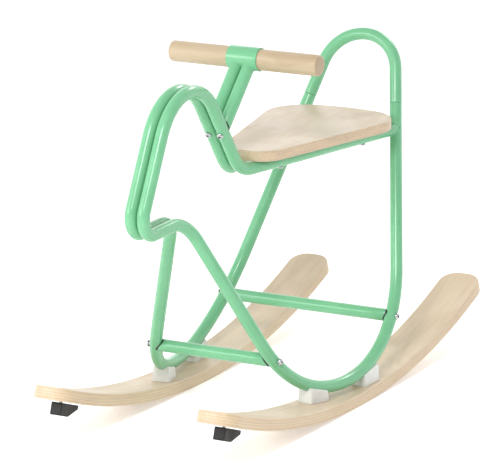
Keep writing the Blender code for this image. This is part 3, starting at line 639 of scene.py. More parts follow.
class Rub(SharedEffect):
    """Where hands and cloths have rubbed a finish: soft patches and a few faint strokes."""

    name = "rub"
    takes = {"Vector": ("Vector", None), "Patch": ("Float", 0.05)}
    gives = {"Amount": "Float"}
    finer = (7.0, 7.0, 7.0)
    limits = (0.35, 0.65)

    @classmethod
    def lay_out(cls, sheet: NodeSheet, takes: Sockets) -> dict[str, Socket]:
        """Add a patchy noise to a finer one."""
        size = sheet.vector(takes["Patch"], takes["Patch"], takes["Patch"])
        spot = sheet.spread("DIVIDE", takes["Vector"], size)
        patch = sheet.noise(spot, 3.0, 0.55)
        fine = sheet.noise(sheet.spread("MULTIPLY", spot, cls.finer), 2.0, 0.6)
        both = sheet.sum("ADD", sheet.sum("MULTIPLY", patch, 0.75), sheet.sum("MULTIPLY", fine, 0.25))
        return {"Amount": sheet.span(both, *cls.limits)}


def opaque(color: Color) -> tuple[float, float, float, float]:
    """A colour with full alpha."""
    return (*color, 1.0)


def new_material(name: str) -> tuple[bpy.types.Material, NodeSheet, bpy.types.Node, Socket]:
    """An empty material: itself, its sheet, its Principled shader and its Object coordinates."""
    material = bpy.data.materials.new(name)
    material.use_nodes = True
    sheet = NodeSheet(material.node_tree)
    shader = material.node_tree.nodes["Principled BSDF"]
    return material, sheet, shader, sheet.add("TexCoord").outputs["Object"]


def worn(sheet: NodeSheet, shader: bpy.types.Node, place: Socket, patch: float,
         rough: tuple[float, float]) -> Socket:
    """Let a finish's roughness drift between two values where it is rubbed.

    Args:
        sheet: The material's tree.
        shader: Its Principled shader.
        place: Where on the piece.
        patch: Size of a rubbed patch.
        rough: Roughness at none and at full rub.

    Returns:
        How much the finish is rubbed.
    """
    rub = Rub.place(sheet, Vector=place, Patch=patch)["Amount"]
    sheet.feed(shader.inputs["Roughness"], sheet.span(rub, 0.0, 1.0, *rough))
    return rub


@dataclass(frozen=True)
class PowderCoat:
    """Glossy powder coat, with the faint skin and drift of tone that it cures to."""

    name: str = "mint_powder_coat"
    deep: Color = (0.160, 0.455, 0.240)
    light: Color = (0.178, 0.485, 0.262)
    gloss: tuple[float, float] = (0.20, 0.26)
    patch: float = 0.06
    skin: float = 0.0016
    specks: float = 0.03
    relief: tuple[float, float] = (0.10, 0.00006)

    def material(self) -> bpy.types.Material:
        """Build the finish."""
        material, sheet, shader, place = new_material(self.name)
        rub = worn(sheet, shader, place, self.patch, self.gloss)
        cell = sheet.spread("DIVIDE", place, (self.skin,) * 3)
        peel = sheet.noise(cell, 1.0, 0.4)
        speck = sheet.noise(sheet.spread("MULTIPLY", cell, (5.0, 5.0, 5.0)), 1.0, 0.5)
        tone = sheet.blend(rub, opaque(self.deep), opaque(self.light))
        tone = sheet.blend(sheet.span(speck, 0.3, 0.8, 0.0, self.specks), tone, opaque(self.light), "SCREEN")
        sheet.feed(shader.inputs["Base Color"], tone)
        sheet.bump(shader, peel, self.relief)
        return material


@dataclass(frozen=True)
class Plywood:
    """Lacquered plywood: long-grained faces, and layers along its edges."""

    name: str
    face: Color
    face_deep: Color
    long_ply: Color
    cross_ply: Color
    glue: Color
    thickness: float
    layers: int
    base_z: float = 0.0
    bend: tuple[float, float] | None = None
    rough: tuple[float, float] = (0.36, 0.50)
    patch: float = 0.08
    glue_depth: float = 0.60
    waver: float = 0.12
    waver_rate: tuple[float, float, float] = (14.0, 14.0, 60.0)
    end_grain_rate: tuple[float, float, float] = (1500.0, 1500.0, 420.0)
    glue_rate: tuple[float, float, float] = (18.0, 18.0, 160.0)
    side_band: float = 0.0012
    fibre_depth: float = 0.16
    pore_depth: float = 0.22
    relief: tuple[float, float] = (0.25, 0.0002)

    def flat(self, sheet: NodeSheet, place: Socket) -> Socket:
        """Place on the board as if it lay flat, with its underside at height zero."""
        if self.bend is None:
            return sheet.spread("SUBTRACT", place, (0.0, 0.0, self.base_z))
        radius, low_x = self.bend
        return BentToFlat.place(sheet, Vector=place, Radius=radius, Low_X=low_x)["Flat"]

    def boards(self, sheet: NodeSheet, wood: Sockets, height: Socket) -> Socket:
        """Colour of the faces, and of the long layers wherever a side shows between the faces."""
        face = sheet.blend(sheet.span(wood["Figure"], 0.15, 0.65), opaque(self.face), opaque(self.face_deep))
        side = sheet.blend(sheet.span(wood["Fibre"], 0.30, 0.70), opaque(self.long_ply), opaque(self.face))
        within = sheet.sum("MULTIPLY", height, sheet.sum("SUBTRACT", self.thickness, height))
        return sheet.blend(sheet.span(within, 0.0, self.side_band * self.thickness), face, side)

    def layered(self, sheet: NodeSheet, tone: Socket, flat: Socket, height: Socket,
                plies: Sockets) -> Socket:
        """Add the cross layers with their end grain, and glue lines that come and go along the edge.

        Args:
            sheet: The material's tree.
            tone: Colour so far.
            flat: Place on the board as if it lay flat.
            height: Height over the underside.
            plies: Cross layers and glue lines.

        Returns:
            The new colour.
        """
        tone = sheet.blend(plies["Cross"], tone, opaque(self.cross_ply))
        grain = sheet.noise(sheet.spread("MULTIPLY", flat, self.end_grain_rate), 2.0, 0.6)
        ends = sheet.sum("MULTIPLY", plies["Cross"], sheet.span(grain, 0.45, 0.75, 0.0, 0.5))
        tone = sheet.blend(ends, tone, opaque(self.glue))
        patch = sheet.noise(sheet.spread("MULTIPLY", flat, self.glue_rate), 3.0, 0.6)
        off = sheet.sum("ABSOLUTE", sheet.sum("SUBTRACT", sheet.sum("DIVIDE", height, self.thickness), 0.5))
        outer = sheet.span(off, 0.28, 0.40, self.glue_depth, min(1.0, self.glue_depth * 2.2))
        strength = sheet.sum("MULTIPLY", sheet.span(patch, 0.3, 0.7, 0.3, 1.0), outer)
        return sheet.blend(sheet.sum("MULTIPLY", plies["Glue"], strength), tone, opaque(self.glue))

    def material(self) -> bpy.types.Material:
        """Build the finish."""
        material, sheet, shader, place = new_material(self.name)
        flat = self.flat(sheet, place)
        height = sheet.parts(flat)[2]
        wood = WoodFigure.place(sheet, Vector=flat, Figure_Size=1.0, Fibre_Size=1.0)
        drift = sheet.noise(sheet.spread("MULTIPLY", flat, self.waver_rate), 2.0)
        plies = PlyLayers.place(sheet, Depth=height, Thickness=self.thickness, Layers=float(self.layers),
                                Waver=sheet.span(drift, 0.0, 1.0, -self.waver, self.waver))
        tone = self.layered(sheet, self.boards(sheet, wood, height), flat, height, plies)
        fibre = sheet.span(wood["Fibre"], 0.40, 0.68, 0.0, self.fibre_depth)
        tone = sheet.blend(fibre, tone, opaque(self.glue), "MULTIPLY")
        tone = sheet.blend(sheet.sum("MULTIPLY", wood["Pores"], self.pore_depth), tone, opaque(self.glue))
        sheet.feed(shader.inputs["Base Color"], tone)
        worn(sheet, shader, place, self.patch, self.rough)
        grain = sheet.sum("SUBTRACT", wood["Fibre"], sheet.sum("MULTIPLY", wood["Pores"], 0.5))
        grain = sheet.sum("SUBTRACT", grain, sheet.sum("MULTIPLY", plies["Glue"], 0.4))
        sheet.bump(shader, grain, self.relief)
        return material


@dataclass(frozen=True)
class TurnedWood:
    """Lacquered turned wood with its grain along Y and its end grain showing rings."""

    name: str = "handle_beech"
    face: Color = (0.505, 0.400, 0.268)
    deep: Color = (0.440, 0.332, 0.208)
    end: Color = (0.42, 0.305, 0.204)
    heart: tuple[float, float, float] = (0.085, 0.0, 0.512)
    half_length: float = 0.1235
    end_band: tuple[float, float] = (0.0045, 0.0005)
    ring_rate: float = 2600.0
    ring_waver: float = 5.0
    rough: tuple[float, float] = (0.34, 0.48)
    patch: float = 0.05
    relief: tuple[float, float] = (0.2, 0.0002)

    def side(self, sheet: NodeSheet, wood: Sockets) -> Socket:
        """Colour along the handle: figure, fibres and pores."""
        tone = sheet.blend(sheet.span(wood["Figure"], 0.15, 0.65), opaque(self.face), opaque(self.deep))
        tone = sheet.blend(sheet.span(wood["Fibre"], 0.38, 0.66, 0.0, 0.35), tone, opaque(self.deep))
        return sheet.blend(sheet.sum("MULTIPLY", wood["Pores"], 0.35), tone, opaque(self.end))

    def ends(self, sheet: NodeSheet, place: Socket) -> Socket:
        """Colour of the end grain: wavering year rings about a heart that lies outside the handle."""
        off = sheet.spread("MULTIPLY", sheet.spread("SUBTRACT", place, self.heart), (1.0, 0.0, 1.0))
        reach = sheet.add("VectorMath", {0: off}, operation="LENGTH").outputs["Value"]
        waver = sheet.noise(sheet.spread("MULTIPLY", place, (60.0, 10.0, 60.0)), 2.0)
        lap = sheet.sum("ADD", sheet.sum("MULTIPLY", reach, self.ring_rate),
                        sheet.sum("MULTIPLY", waver, self.ring_waver))
        year = sheet.span(sheet.sum("SINE", lap), -0.6, 1.0)
        return sheet.blend(year, opaque(self.end), opaque(self.deep))

    def material(self) -> bpy.types.Material:
        """Build the finish."""
        material, sheet, shader, place = new_material(self.name)
        x, y, z = sheet.parts(place)
        wood = WoodFigure.place(sheet, Vector=sheet.vector(y, x, z), Figure_Size=0.6, Fibre_Size=0.9)
        cut = sheet.span(sheet.sum("ABSOLUTE", y), *(self.half_length - band for band in self.end_band))
        tone = sheet.blend(cut, self.side(sheet, wood), self.ends(sheet, place))
        sheet.feed(shader.inputs["Base Color"], tone)
        worn(sheet, shader, place, self.patch, self.rough)
        sheet.bump(shader, sheet.sum("SUBTRACT", wood["Fibre"], wood["Pores"]), self.relief)
        return material


@dataclass(frozen=True)
class Moulded:
    """Moulded plastic or rubber with a fine spark-eroded texture."""

    name: str
    color: Color
    shade: Color
    rough: tuple[float, float]
    texture: float
    relief: tuple[float, float]
    patch: float = 0.02
    # Painted shade, multiplied into the colour on rounded edges.
    painted_edge_shade: Color = (0.22, 0.22, 0.22)

    def material(self) -> bpy.types.Material:
        """Build the finish; the attribute rim marks rounded edges, which get a painted shade."""
        material, sheet, shader, place = new_material(self.name)
        rub = worn(sheet, shader, place, self.patch, self.rough)
        pebble = sheet.noise(sheet.spread("DIVIDE", place, (self.texture,) * 3), 2.0, 0.55)
        tone = sheet.blend(rub, opaque(self.color), opaque(self.shade))
        rim = sheet.add("Attribute", attribute_name="rim").outputs["Fac"]
        # Painted shade: where the attribute rim marks a rounded edge, the colour is darkened.
        tone = sheet.blend(rim, tone, sheet.blend(1.0, tone, opaque(self.painted_edge_shade), "MULTIPLY"))
        tone = sheet.blend(sheet.span(pebble, 0.5, 0.8, 0.0, 0.35), tone, opaque(self.shade))
        sheet.feed(shader.inputs["Base Color"], tone)
        sheet.bump(shader, pebble, self.relief)
        return material


@dataclass(frozen=True)
class Fastener:
    """Plated steel, bright on its head, with the inside of its socket painted near black as shade."""

    name: str
    color: Color
    shade: Color
    rough: tuple[float, float]
    patch: float = 0.004
    brushing: tuple[float, float, float] = (9000.0, 1500.0, 1500.0)
    # Painted shade for the inside of a socket, near black; not a colour of the steel.
    socket: Color = (0.03, 0.03, 0.035)
    relief: tuple[float, float] = (0.12, 0.00005)

    def material(self) -> bpy.types.Material:
        """Build the finish; the attribute hollow marks the inside of a socket, which gets painted shade."""
        material, sheet, shader, place = new_material(self.name)
        rub = worn(sheet, shader, place, self.patch, self.rough)
        brushed = sheet.noise(sheet.spread("MULTIPLY", place, self.brushing), 2.0, 0.6)
        socket_shade_mask = sheet.add("Attribute", attribute_name="socket_shade_mask").outputs["Fac"]
        tone = sheet.blend(rub, opaque(self.color), opaque(self.shade))
        # Painted shade: the socket's inside is coloured near black, standing in for the shade of the recess.
        sheet.feed(shader.inputs["Base Color"], sheet.blend(socket_shade_mask, tone, opaque(self.socket)))
        shader.inputs["Metallic"].default_value = 1.0
        sheet.bump(shader, brushed, self.relief)
        return material


class Palette:
    """The horse's finishes, each one material."""

    def __init__(self, seat: "Seat", runner: "Runner") -> None:
        """Make every finish.

        Args:
            seat: The seat, whose thickness and base the layers follow.
            runner: The runner, whose thickness and bend the layers follow.
        """
        self.paint = PowderCoat().material()
        self.seat = Plywood(
            "seat_plywood", face=(0.590, 0.490, 0.368), face_deep=(0.545, 0.442, 0.322),
            long_ply=(0.70, 0.555, 0.385), cross_ply=(0.64, 0.475, 0.31), glue=(0.40, 0.25, 0.15),
            thickness=seat.thick, layers=9, base_z=seat.base).material()
        self.runner = Plywood(
            "runner_plywood", face=(0.655, 0.528, 0.385), face_deep=(0.595, 0.468, 0.325),
            long_ply=(0.68, 0.54, 0.365), cross_ply=(0.64, 0.49, 0.315), glue=(0.42, 0.27, 0.15),
            thickness=runner.thick, layers=9, bend=(runner.radius, runner.low_x), glue_depth=0.30).material()
        self.handle = TurnedWood().material()
        self.white = Moulded(
            "saddle_nylon", color=(0.74, 0.74, 0.71), shade=(0.69, 0.69, 0.66), rough=(0.40, 0.52),
            texture=0.0006, relief=(0.12, 0.0003)).material()
        self.black = Moulded(
            "spacer_nylon", color=(0.018, 0.018, 0.018), shade=(0.028, 0.028, 0.028), rough=(0.42, 0.55),
            texture=0.0006, relief=(0.15, 0.0003)).material()
        self.rubber = Moulded(
            "stop_rubber", color=(0.011, 0.0115, 0.0115), shade=(0.017, 0.017, 0.0165), rough=(0.52, 0.68),
            texture=0.0007, relief=(0.35, 0.0003)).material()
        self.bright = Fastener(
            "bright_screws", color=(0.62, 0.62, 0.64), shade=(0.46, 0.46, 0.49),
            rough=(0.16, 0.28)).material()
        self.zinc = Fastener(
            "zinc_plate", color=(0.62, 0.63, 0.66), shade=(0.50, 0.51, 0.53),
            rough=(0.28, 0.42)).material()


# ------------------------------------------------------------------ the horse
@dataclass(frozen=True)
class Tube:
    """Sizes of the steel tube, of the spacer on it and of the clearance left between pieces."""

    radius: float = 0.0095
    wall: float = 0.0015
    spacer: float = 0.0014
    gap: float = 0.0003

    @property
    def bore(self) -> float:
        """Inner radius."""
        return self.radius - self.wall

    @property
    def bed(self) -> float:
        """Radius that an end is coped to: over the other tube, its spacer and a gap on both its sides."""
        return self.radius + self.spacer + 2 * self.gap


TUBE = Tube()


@dataclass(frozen=True)
class CopedEnd:
    """Hollow end of a tube, cut to the round of the tube that it is bolted to."""

    depth: float = 0.0120
    lip: float = 0.0004
    draw: float = 0.02

    def grid(self, centre: Array, axis: Array, hint: Array, sides: int, way: Array, bed: Bore) -> Array:
        """Rings from inside the bore over the rounded lip to the tube's outside.

        Every ring is the tube's outer or inner circle, carried against its way to the near side of the bed.

        Args:
            centre: A point of the tube's axis.
            axis: Direction that the rings turn round, along the tube.
            hint: Direction that angle zero leans to.
            sides: Points in a ring.
            way: Direction from the tube's middle to this end.
            bed: Cylinder that the end is cut to.

        Returns:
            Points, (4, sides, 3).
        """
        outer, inner = (rings(centre[None], axis[None], np.array([radius]), hint, sides)[0]
                        for radius in (TUBE.radius, TUBE.bore))
        foot, mouth = bed.met_by(outer, -way), bed.met_by(inner, -way)
        edge = foot - (outer - centre) * self.draw
        return np.stack([mouth - way * self.depth, mouth, edge, foot - way * self.lip])


@dataclass(frozen=True)
class SideFrame:
    """One bent tube: seat rail, neck, head, jaw, front leg, foot and upright."""

    neck_y: float = 0.0100
    rail_z: float = 0.3610
    belly: tuple[float, float] = (0.1063, 0.055)
    crest: tuple[float, float, float] = (0.2744, 0.5882, 0.0905)
    muzzle: tuple[float, float, float] = (0.4123, 0.3208, 0.0275)
    throat: tuple[float, float, float] = (0.2745, 0.3232, 0.056)
    front_foot: tuple[float, float, float] = (0.1511, 0.1150, 0.0552)
    rear_foot: tuple[float, float, float] = (-0.1033, 0.1690, 0.0050)
    foot_radii: tuple[float, float] = (0.161, 0.218)
    seam: tuple[float, float, float] = (-0.2851, 0.0744, 0.3963)
    bar_heights: tuple[float, float] = (0.0984, 0.1016)
    saddle_x: tuple[float, float] = (0.0930, -0.0390)
    screw_x: tuple[float, float] = (0.0115, -0.1855)
    bead: float = 0.0014
    bead_points: int = 96
    ripples: int = 17

    @property
    def neck(self) -> Array:
        """Direction of the neck, up to the crest."""
        return unit(np.array([self.crest[0] - self.belly[0], 0.0, self.crest[1] - self.rail_z]))

    def upright_at(self, z: float) -> Array:
        """Point of the left upright's axis at a height."""
        low, high = np.array(self.rear_foot), np.array(self.seam)
        return low + (high - low) * (z - low[2]) / (high[2] - low[2])

    def rail(self) -> tuple[Array, Array]:
        """Rear and front ends of the left rail's axis."""
        return self.upright_at(self.rail_z), np.array([self.belly[0], self.neck_y, self.rail_z])

    def path(self) -> Array:
        """Axis of the left tube, from the upright's axis at the rail round to the upright's top."""
        rear, belly = self.rail()
        head = [np.array([x, self.neck_y, z]) for x, z, _ in (self.crest, self.muzzle, self.throat)]
        corners = np.array([rear, belly, *head, self.front_foot, self.rear_foot, self.seam])
        radii = [self.belly[1], self.crest[2], self.muzzle[2], self.throat[2], *self.foot_radii]
        return fillet_path(corners, radii)

    def lower(self) -> Array:
        """The part of the path from the throat down and up to the seam."""
        path = self.path()
        return path[np.nonzero(path[:, 1] <= self.neck_y + TUBE.gap)[0][-1]:]

    def bar_seat(self, rear: bool) -> tuple[Array, Array]:
        """Point and direction of the left tube's axis at a crossbar."""
        lower = self.lower()
        return where(lower[::-1] if rear else lower, 2, self.bar_heights[rear])

    def rail_point(self, x: float) -> Array:
        """Point of the left rail's axis over a seat screw."""
        rear, belly = self.rail()
        return rear + (belly - rear) * (x - rear[0]) / (belly[0] - rear[0])

    def weld(self) -> Shell:
        """Bead round the rail's coped end, on the seam where the two equal tubes meet."""
        rear, belly = self.rail()
        heading = unit(belly - rear)
        rise = unit(np.array(self.seam) - np.array(self.rear_foot))
        upright = Bore(rear, rise, TUBE.radius)
        lap = rings(rear[None], heading[None], np.array([TUBE.radius]), UP, self.bead_points)[0]
        return weld_bead(upright.met_by(lap, heading), rear + heading * TUBE.radius, self.bead, self.ripples)

    def build(self, side: Side, paint: bpy.types.Material) -> None:
        """Make one side's tube."""
        shell = swept_bar(self.path(), TUBE.radius, LEFT) + self.weld()
        if side is Side.RIGHT:
            shell = Shell(side.mirror(shell.points), [face[::-1] for face in shell.faces])
        fit(make_piece(f"bent_tube_{side.word}", shell, paint), "green_paint", f"side_frame_{side.word}")


@dataclass(frozen=True)
class Hoop:
    """Bent tube behind the seat, plugged into both uprights."""

    rise: float = 0.1055
    turn: float = math.radians(3.0)

    def build(self, tube: SideFrame, paint: bpy.types.Material) -> None:
        """Bend the hoop in the plane of the two uprights; its radius brings its axis to the stated rise."""
        left = np.array(tube.seam)
        right = Side.RIGHT.mirror(left)
        lean = unit(left - np.array(tube.rear_foot))
        slope = unit(lean * np.array([1.0, 0.0, 1.0]))
        reach = left[1] / (-lean[1] / math.hypot(lean[0], lean[2]))
        middle = (left + right) / 2
        corner = middle + slope * reach
        half = math.atan2(left[1], reach)
        radius = (reach - self.rise) / (1 / math.sin(half) - 1)
        start, end = (foot + unit(corner - foot) * TUBE.gap for foot in (left, right))
        path = fillet_path(np.array([start, corner, end]), [radius], self.turn)
        shell = swept_bar(path, TUBE.radius, np.cross(slope, LEFT))
        fit(make_piece("hoop", shell, paint), "green_paint", "backrest_hoop")


@dataclass(frozen=True)
class Button:
    """Button-headed screw with a hexagon socket."""

    shank: float = 0.0030
    head: float = 0.00525
    height: float = 0.0032
    socket: float = 0.0020
    depth: float = 0.0020
    tip: float = 0.0004
    skirt: float = 0.22
    mouth: float = 1.22
    sides: int = 48
    painted_shade_rows: int = 3

    def shell(self, seat: Array, inward: Array, length: float) -> tuple[Shell, Array]:
        """Turn the screw: shank, under side, rounded rim, dome, and a socket whose wall is a hexagon.

        The dome is a quarter of an ellipse from the head's rim to the socket's mouth. A hexagon's radius at
        an angle a is its flat's distance over cos of a's distance from the flat.

        Args:
            seat: Middle of the face that the head rests on.
            inward: Direction of the shank.
            length: Length of the shank.

        Returns:
            The closed shell, and 1 for each point inside the socket, where painted shade goes.
        """
        turn = np.linspace(0.0, math.pi / 2, 9)
        mouth = self.socket * self.mouth
        floor = self.height - self.depth
        shank = [(self.shank * 0.8, -length), (self.shank, self.tip - length), (self.shank, 0.0),
                 (self.head * 0.97, 0.0), (self.head, self.height * 0.06)]
        dome = np.stack([mouth + (self.head - mouth) * np.cos(turn),
                         self.height * (self.skirt + (1 - self.skirt) * np.sin(turn))], axis=-1)
        socket = [(1.0, self.height * 0.985), (1.0, self.height * 0.93), (1.0, floor), (0.9, floor),
                  (0.5, self.height - self.depth * 1.08)]
        radii, along = np.concatenate([shank, dome, socket]).T
        row = np.arange(len(radii))
        angle = circle(self.sides)
        flat = self.socket / np.cos((angle + math.pi / 6) % (math.pi / 3) - math.pi / 6)
        reach = radii[:, None] * np.where((row >= len(row) - len(socket))[:, None], flat, 1.0)
        axis = -unit(inward)
        hint = UP if abs(axis[2]) < 0.9 else AHEAD
        axes = np.broadcast_to(axis, (len(row), 3))
        grid = rings(seat + axis * along[:, None], axes, reach, hint, self.sides)
        # The last rows, down in the socket, are marked for painted shade.
        mark = np.repeat(row >= len(row) - self.painted_shade_rows, self.sides).astype(float)
        return capped(grid), np.concatenate([mark, [0.0, 1.0]])


@dataclass(frozen=True)
class Fixings:
    """Screws and bolts that hold the horse together, where they show."""

    bolt: Button = field(default_factory=Button)
    screw: Button = field(default_factory=lambda: Button(0.0025, 0.00475, 0.0026, 0.0020, 0.0016))
    stem_slope: float = math.radians(44.6)
    sink: float = 0.0010
    grip: float = 0.0140
    bite: float = 0.0090

    def place(self, name: str, button: Button, seat: Array, inward: Array, length: float,
              metal: bpy.types.Material, slot: str) -> None:
        """Make one screw in place of its node."""
        # The mask marks the socket's inside, which the finish paints near black as shade.
        shell, socket_shade_mask = button.shell(seat, inward, length)
        fit(make_piece(f"{name}_head", shell, metal, fields={"socket_shade_mask": socket_shade_mask}), slot, name)

    def head_lift(self, slope: Array, way: Array) -> float:
        """How far a head stands off a slanting tube, less the flat pressed for it."""
        lean = abs(float(slope @ way))
        return self.bolt.head * lean / math.sqrt(1 - lean * lean) - self.sink

    def build(self, tube: SideFrame, palette: Palette) -> None:
        """Set every visible screw."""
        outside = TUBE.radius + TUBE.gap
        for side in Side:
            for rear, word in enumerate(("front", "rear")):
                point, slope = tube.bar_seat(bool(rear))
                stand = outside / math.hypot(slope[0], slope[2]) + self.head_lift(slope, LEFT)
                seat = side.mirror(point + LEFT * stand)
                self.place(f"{word}_bolt_{side.word}", self.bolt, seat, -side.value * LEFT,
                           stand + self.grip, palette.bright, "bolt_steel")
                seat = side.mirror(tube.rail_point(tube.screw_x[rear]) - UP * outside)
                self.place(f"seat_screw_{side.word}_{word}", self.screw, seat, UP,
                           2 * TUBE.radius + self.bite, palette.bright, "bolt_steel")
            point, down = self.neck_seat(tube)
            stand = outside + self.head_lift(tube.neck, down)
            self.place(f"neck_bolt_{side.word}", self.bolt, side.mirror(point + down * stand), -down,
                       stand + self.grip, palette.bright, "bolt_steel")

    def neck_seat(self, tube: SideFrame) -> tuple[Array, Array]:
        """Point of the left neck's axis where its stem's axis meets it, and the stem's way down."""
        down = np.array([math.cos(self.stem_slope), 0.0, -math.sin(self.stem_slope)])
        neck = tube.neck
        start = np.array([Handle.axis_x, tube.neck_y, Handle.axis_z])
        gap = np.array([tube.belly[0], tube.neck_y, tube.rail_z]) - start
        reach = (gap[0] * neck[2] - gap[2] * neck[0]) / (down[0] * neck[2] - down[2] * neck[0])
        return start + down * reach, down


@dataclass(frozen=True)
class Handle:
    """Round wooden handle in a collar on two stems."""

    axis_x: float = 0.0681
    axis_z: float = 0.5234
    radius: float = 0.0158
    length: float = 0.2470
    soft: float = 0.0040
    collar_length: float = 0.0500
    collar_wall: float = 0.0015
    collar_soft: float = 0.0006
    bead: float = 0.0013
    ripples: int = 15
    stem_sides: int = 48
    dowel_sides: int = 72
    collar_sides: int = 96

    @property
    def axis(self) -> Array:
        """Middle of the handle."""
        return np.array([self.axis_x, 0.0, self.axis_z])

    def dowel(self) -> Shell:
        """A straight bar along Y with well rounded ends."""
        half = LEFT * self.length / 2
        return straight_bar(self.axis - half, self.axis + half, self.radius, self.soft, self.dowel_sides)

    def collar(self) -> Shell:
        """A ring whose section is a rounded rectangle, carried once round the handle."""
        inner = self.radius + TUBE.gap
        outer, half, soft = inner + self.collar_wall, self.collar_length / 2, self.collar_soft
        turn = np.linspace(0.0, math.pi / 2, RIM_STEPS)
        rim = np.stack([outer - soft * (1 - np.sin(turn)), -half + soft * (1 - np.cos(turn))], axis=-1)
        back = rim[::-1] * np.array([1.0, -1.0])
        bore = np.array([[inner, half], [inner, half - soft], [inner, soft - half], [inner, -half]])
        section = np.concatenate([rim, back, bore])
        centres = self.axis + LEFT * section[:, 1:]
        axes = np.broadcast_to(LEFT, centres.shape)
        return looped(rings(centres, axes, section[:, 0], UP, self.collar_sides))

    def stem(self, side: Side, point: Array, down: Array, neck: Array) -> Shell:
        """A tube from inside the collar's wall to the neck, coped there, with a bead under the collar.

        Args:
            side: Side of the horse.
            point: Where the left stem's axis meets the neck's.
            down: Direction of the left stem, away from the collar.
            neck: Direction of the neck.

        Returns:
            The stem and its bead.
        """
        outer = self.radius + TUBE.gap + self.collar_wall
        top = np.array([self.axis_x, point[1], self.axis_z])
        end = CopedEnd().grid(top, -down, LEFT, self.stem_sides, down, Bore(point, neck, TUBE.bed))
        lap = rings(top[None], -down[None], np.array([TUBE.radius]), LEFT, self.stem_sides)[0]
        mouth = Bore(self.axis, LEFT, outer - self.collar_wall / 2).met_by(lap, down)
        seam = Bore(self.axis, LEFT, outer).met_by(lap, down)
        shell = capped(np.concatenate([end, mouth[None]]))
        shell = shell + weld_bead(seam, top + down * outer, self.bead, self.ripples)
        if side is Side.RIGHT:
            shell = Shell(side.mirror(shell.points), [face[::-1] for face in shell.faces])
        return shell

    def build(self, tube: SideFrame, fixings: Fixings, palette: Palette) -> None:
        """Make the handle and its bracket."""
        fit(make_piece("handle", self.dowel(), palette.handle), "dowel_wood", "handle_dowel")
        point, down = fixings.neck_seat(tube)
        shell = self.collar()
        for side in Side:
            shell = shell + self.stem(side, point, down, tube.neck)
        fit(make_piece("handle_mount", shell, palette.paint), "green_paint", "handle_bracket")


@dataclass(frozen=True)
class Crossbars:
    """Tubes between the side frames, coped at both ends to the tubes they meet."""

    sides: int = 64
    rows: int = 9

    def build(self, tube: SideFrame, palette: Palette) -> None:
        """Make both bars: a coped left end, plain rings to the other side, and the end's mirror image."""
        for rear, word in enumerate(("front", "rear")):
            point, slope = tube.bar_seat(bool(rear))
            middle = point * np.array([1.0, 0.0, 1.0])
            bed = Bore(point, unit(slope), TUBE.bed)
            end = CopedEnd().grid(middle, LEFT, UP, self.sides, LEFT, bed)
            level = np.linspace(1.0, -1.0, self.rows)[1:-1, None, None]
            run = end[-1] + end[-1][:, 1:2] * (level - 1.0) * LEFT
            grid = np.concatenate([end, run, Side.RIGHT.mirror(end)[::-1]])[::-1]
            fit(make_piece(f"{word}_bar", capped(grid), palette.paint), "green_paint", f"{word}_crossbar")


@dataclass(frozen=True)
class Seat:
    """Plywood seat: rounded nose, straight flared sides, bowed rear edge."""

    thick: float = 0.0160
    front_x: float = 0.0790
    rear_x: float = -0.2675
    nose_half: float = 0.0410
    nose_round: float = 0.0420
    flare: float = 0.2240
    bow: float = 0.2450
    corner_round: float = 0.0660
    setback: float = 0.0240
    bow_points: int = 24
    lower_edge: float = 0.0010
    upper_edge: float = 0.0022
    points: int = 320
    shrink: tuple[float, ...] = (1.0, 0.97, 0.8, 0.6, 0.4, 0.2, 0.0)

    @property
    def base(self) -> float:
        """Height of the underside, on top of the rails."""
        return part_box("seat_panel")[0].z

    def outline(self) -> Array:
        """Outline, mirrored from its left half, with its points spaced evenly.

        Behind, it is a parabola, x = rear + y squared over twice the bow. A rounded corner, the straight
        side and a second rounded corner lead to the nose.
        """
        corner_y = self.nose_half + self.flare * (self.front_x - self.rear_x - self.setback)
        y = np.linspace(0.0, corner_y / 2, self.bow_points)
        rear = np.stack([self.rear_x + y * y / (2 * self.bow), y, y * 0], axis=-1)
        corner = np.array([self.rear_x + corner_y ** 2 / (2 * self.bow), corner_y, 0.0])
        nose = np.array([self.front_x, self.nose_half, 0.0])
        tip = np.array([self.front_x, 0.0, 0.0])
        turn = fillet_path(np.array([rear[-1], corner, nose, tip]), [self.corner_round, self.nose_round])
        half = np.concatenate([rear[:-1], turn])[:, :2]
        whole = np.concatenate([half, (half * np.array([1.0, -1.0]))[-2:0:-1]])
        return even_loop(whole[::-1], self.points)

    def build(self, palette: Palette) -> None:
        """Make the seat with softened edges."""
        flat = board(self.outline(), self.thick, self.lower_edge, self.upper_edge, self.shrink)
        shell = open_grid(flat + UP * self.base)
        fit(make_piece("seat", shell, palette.seat, merge=True), "seat_ply", "seat_panel")


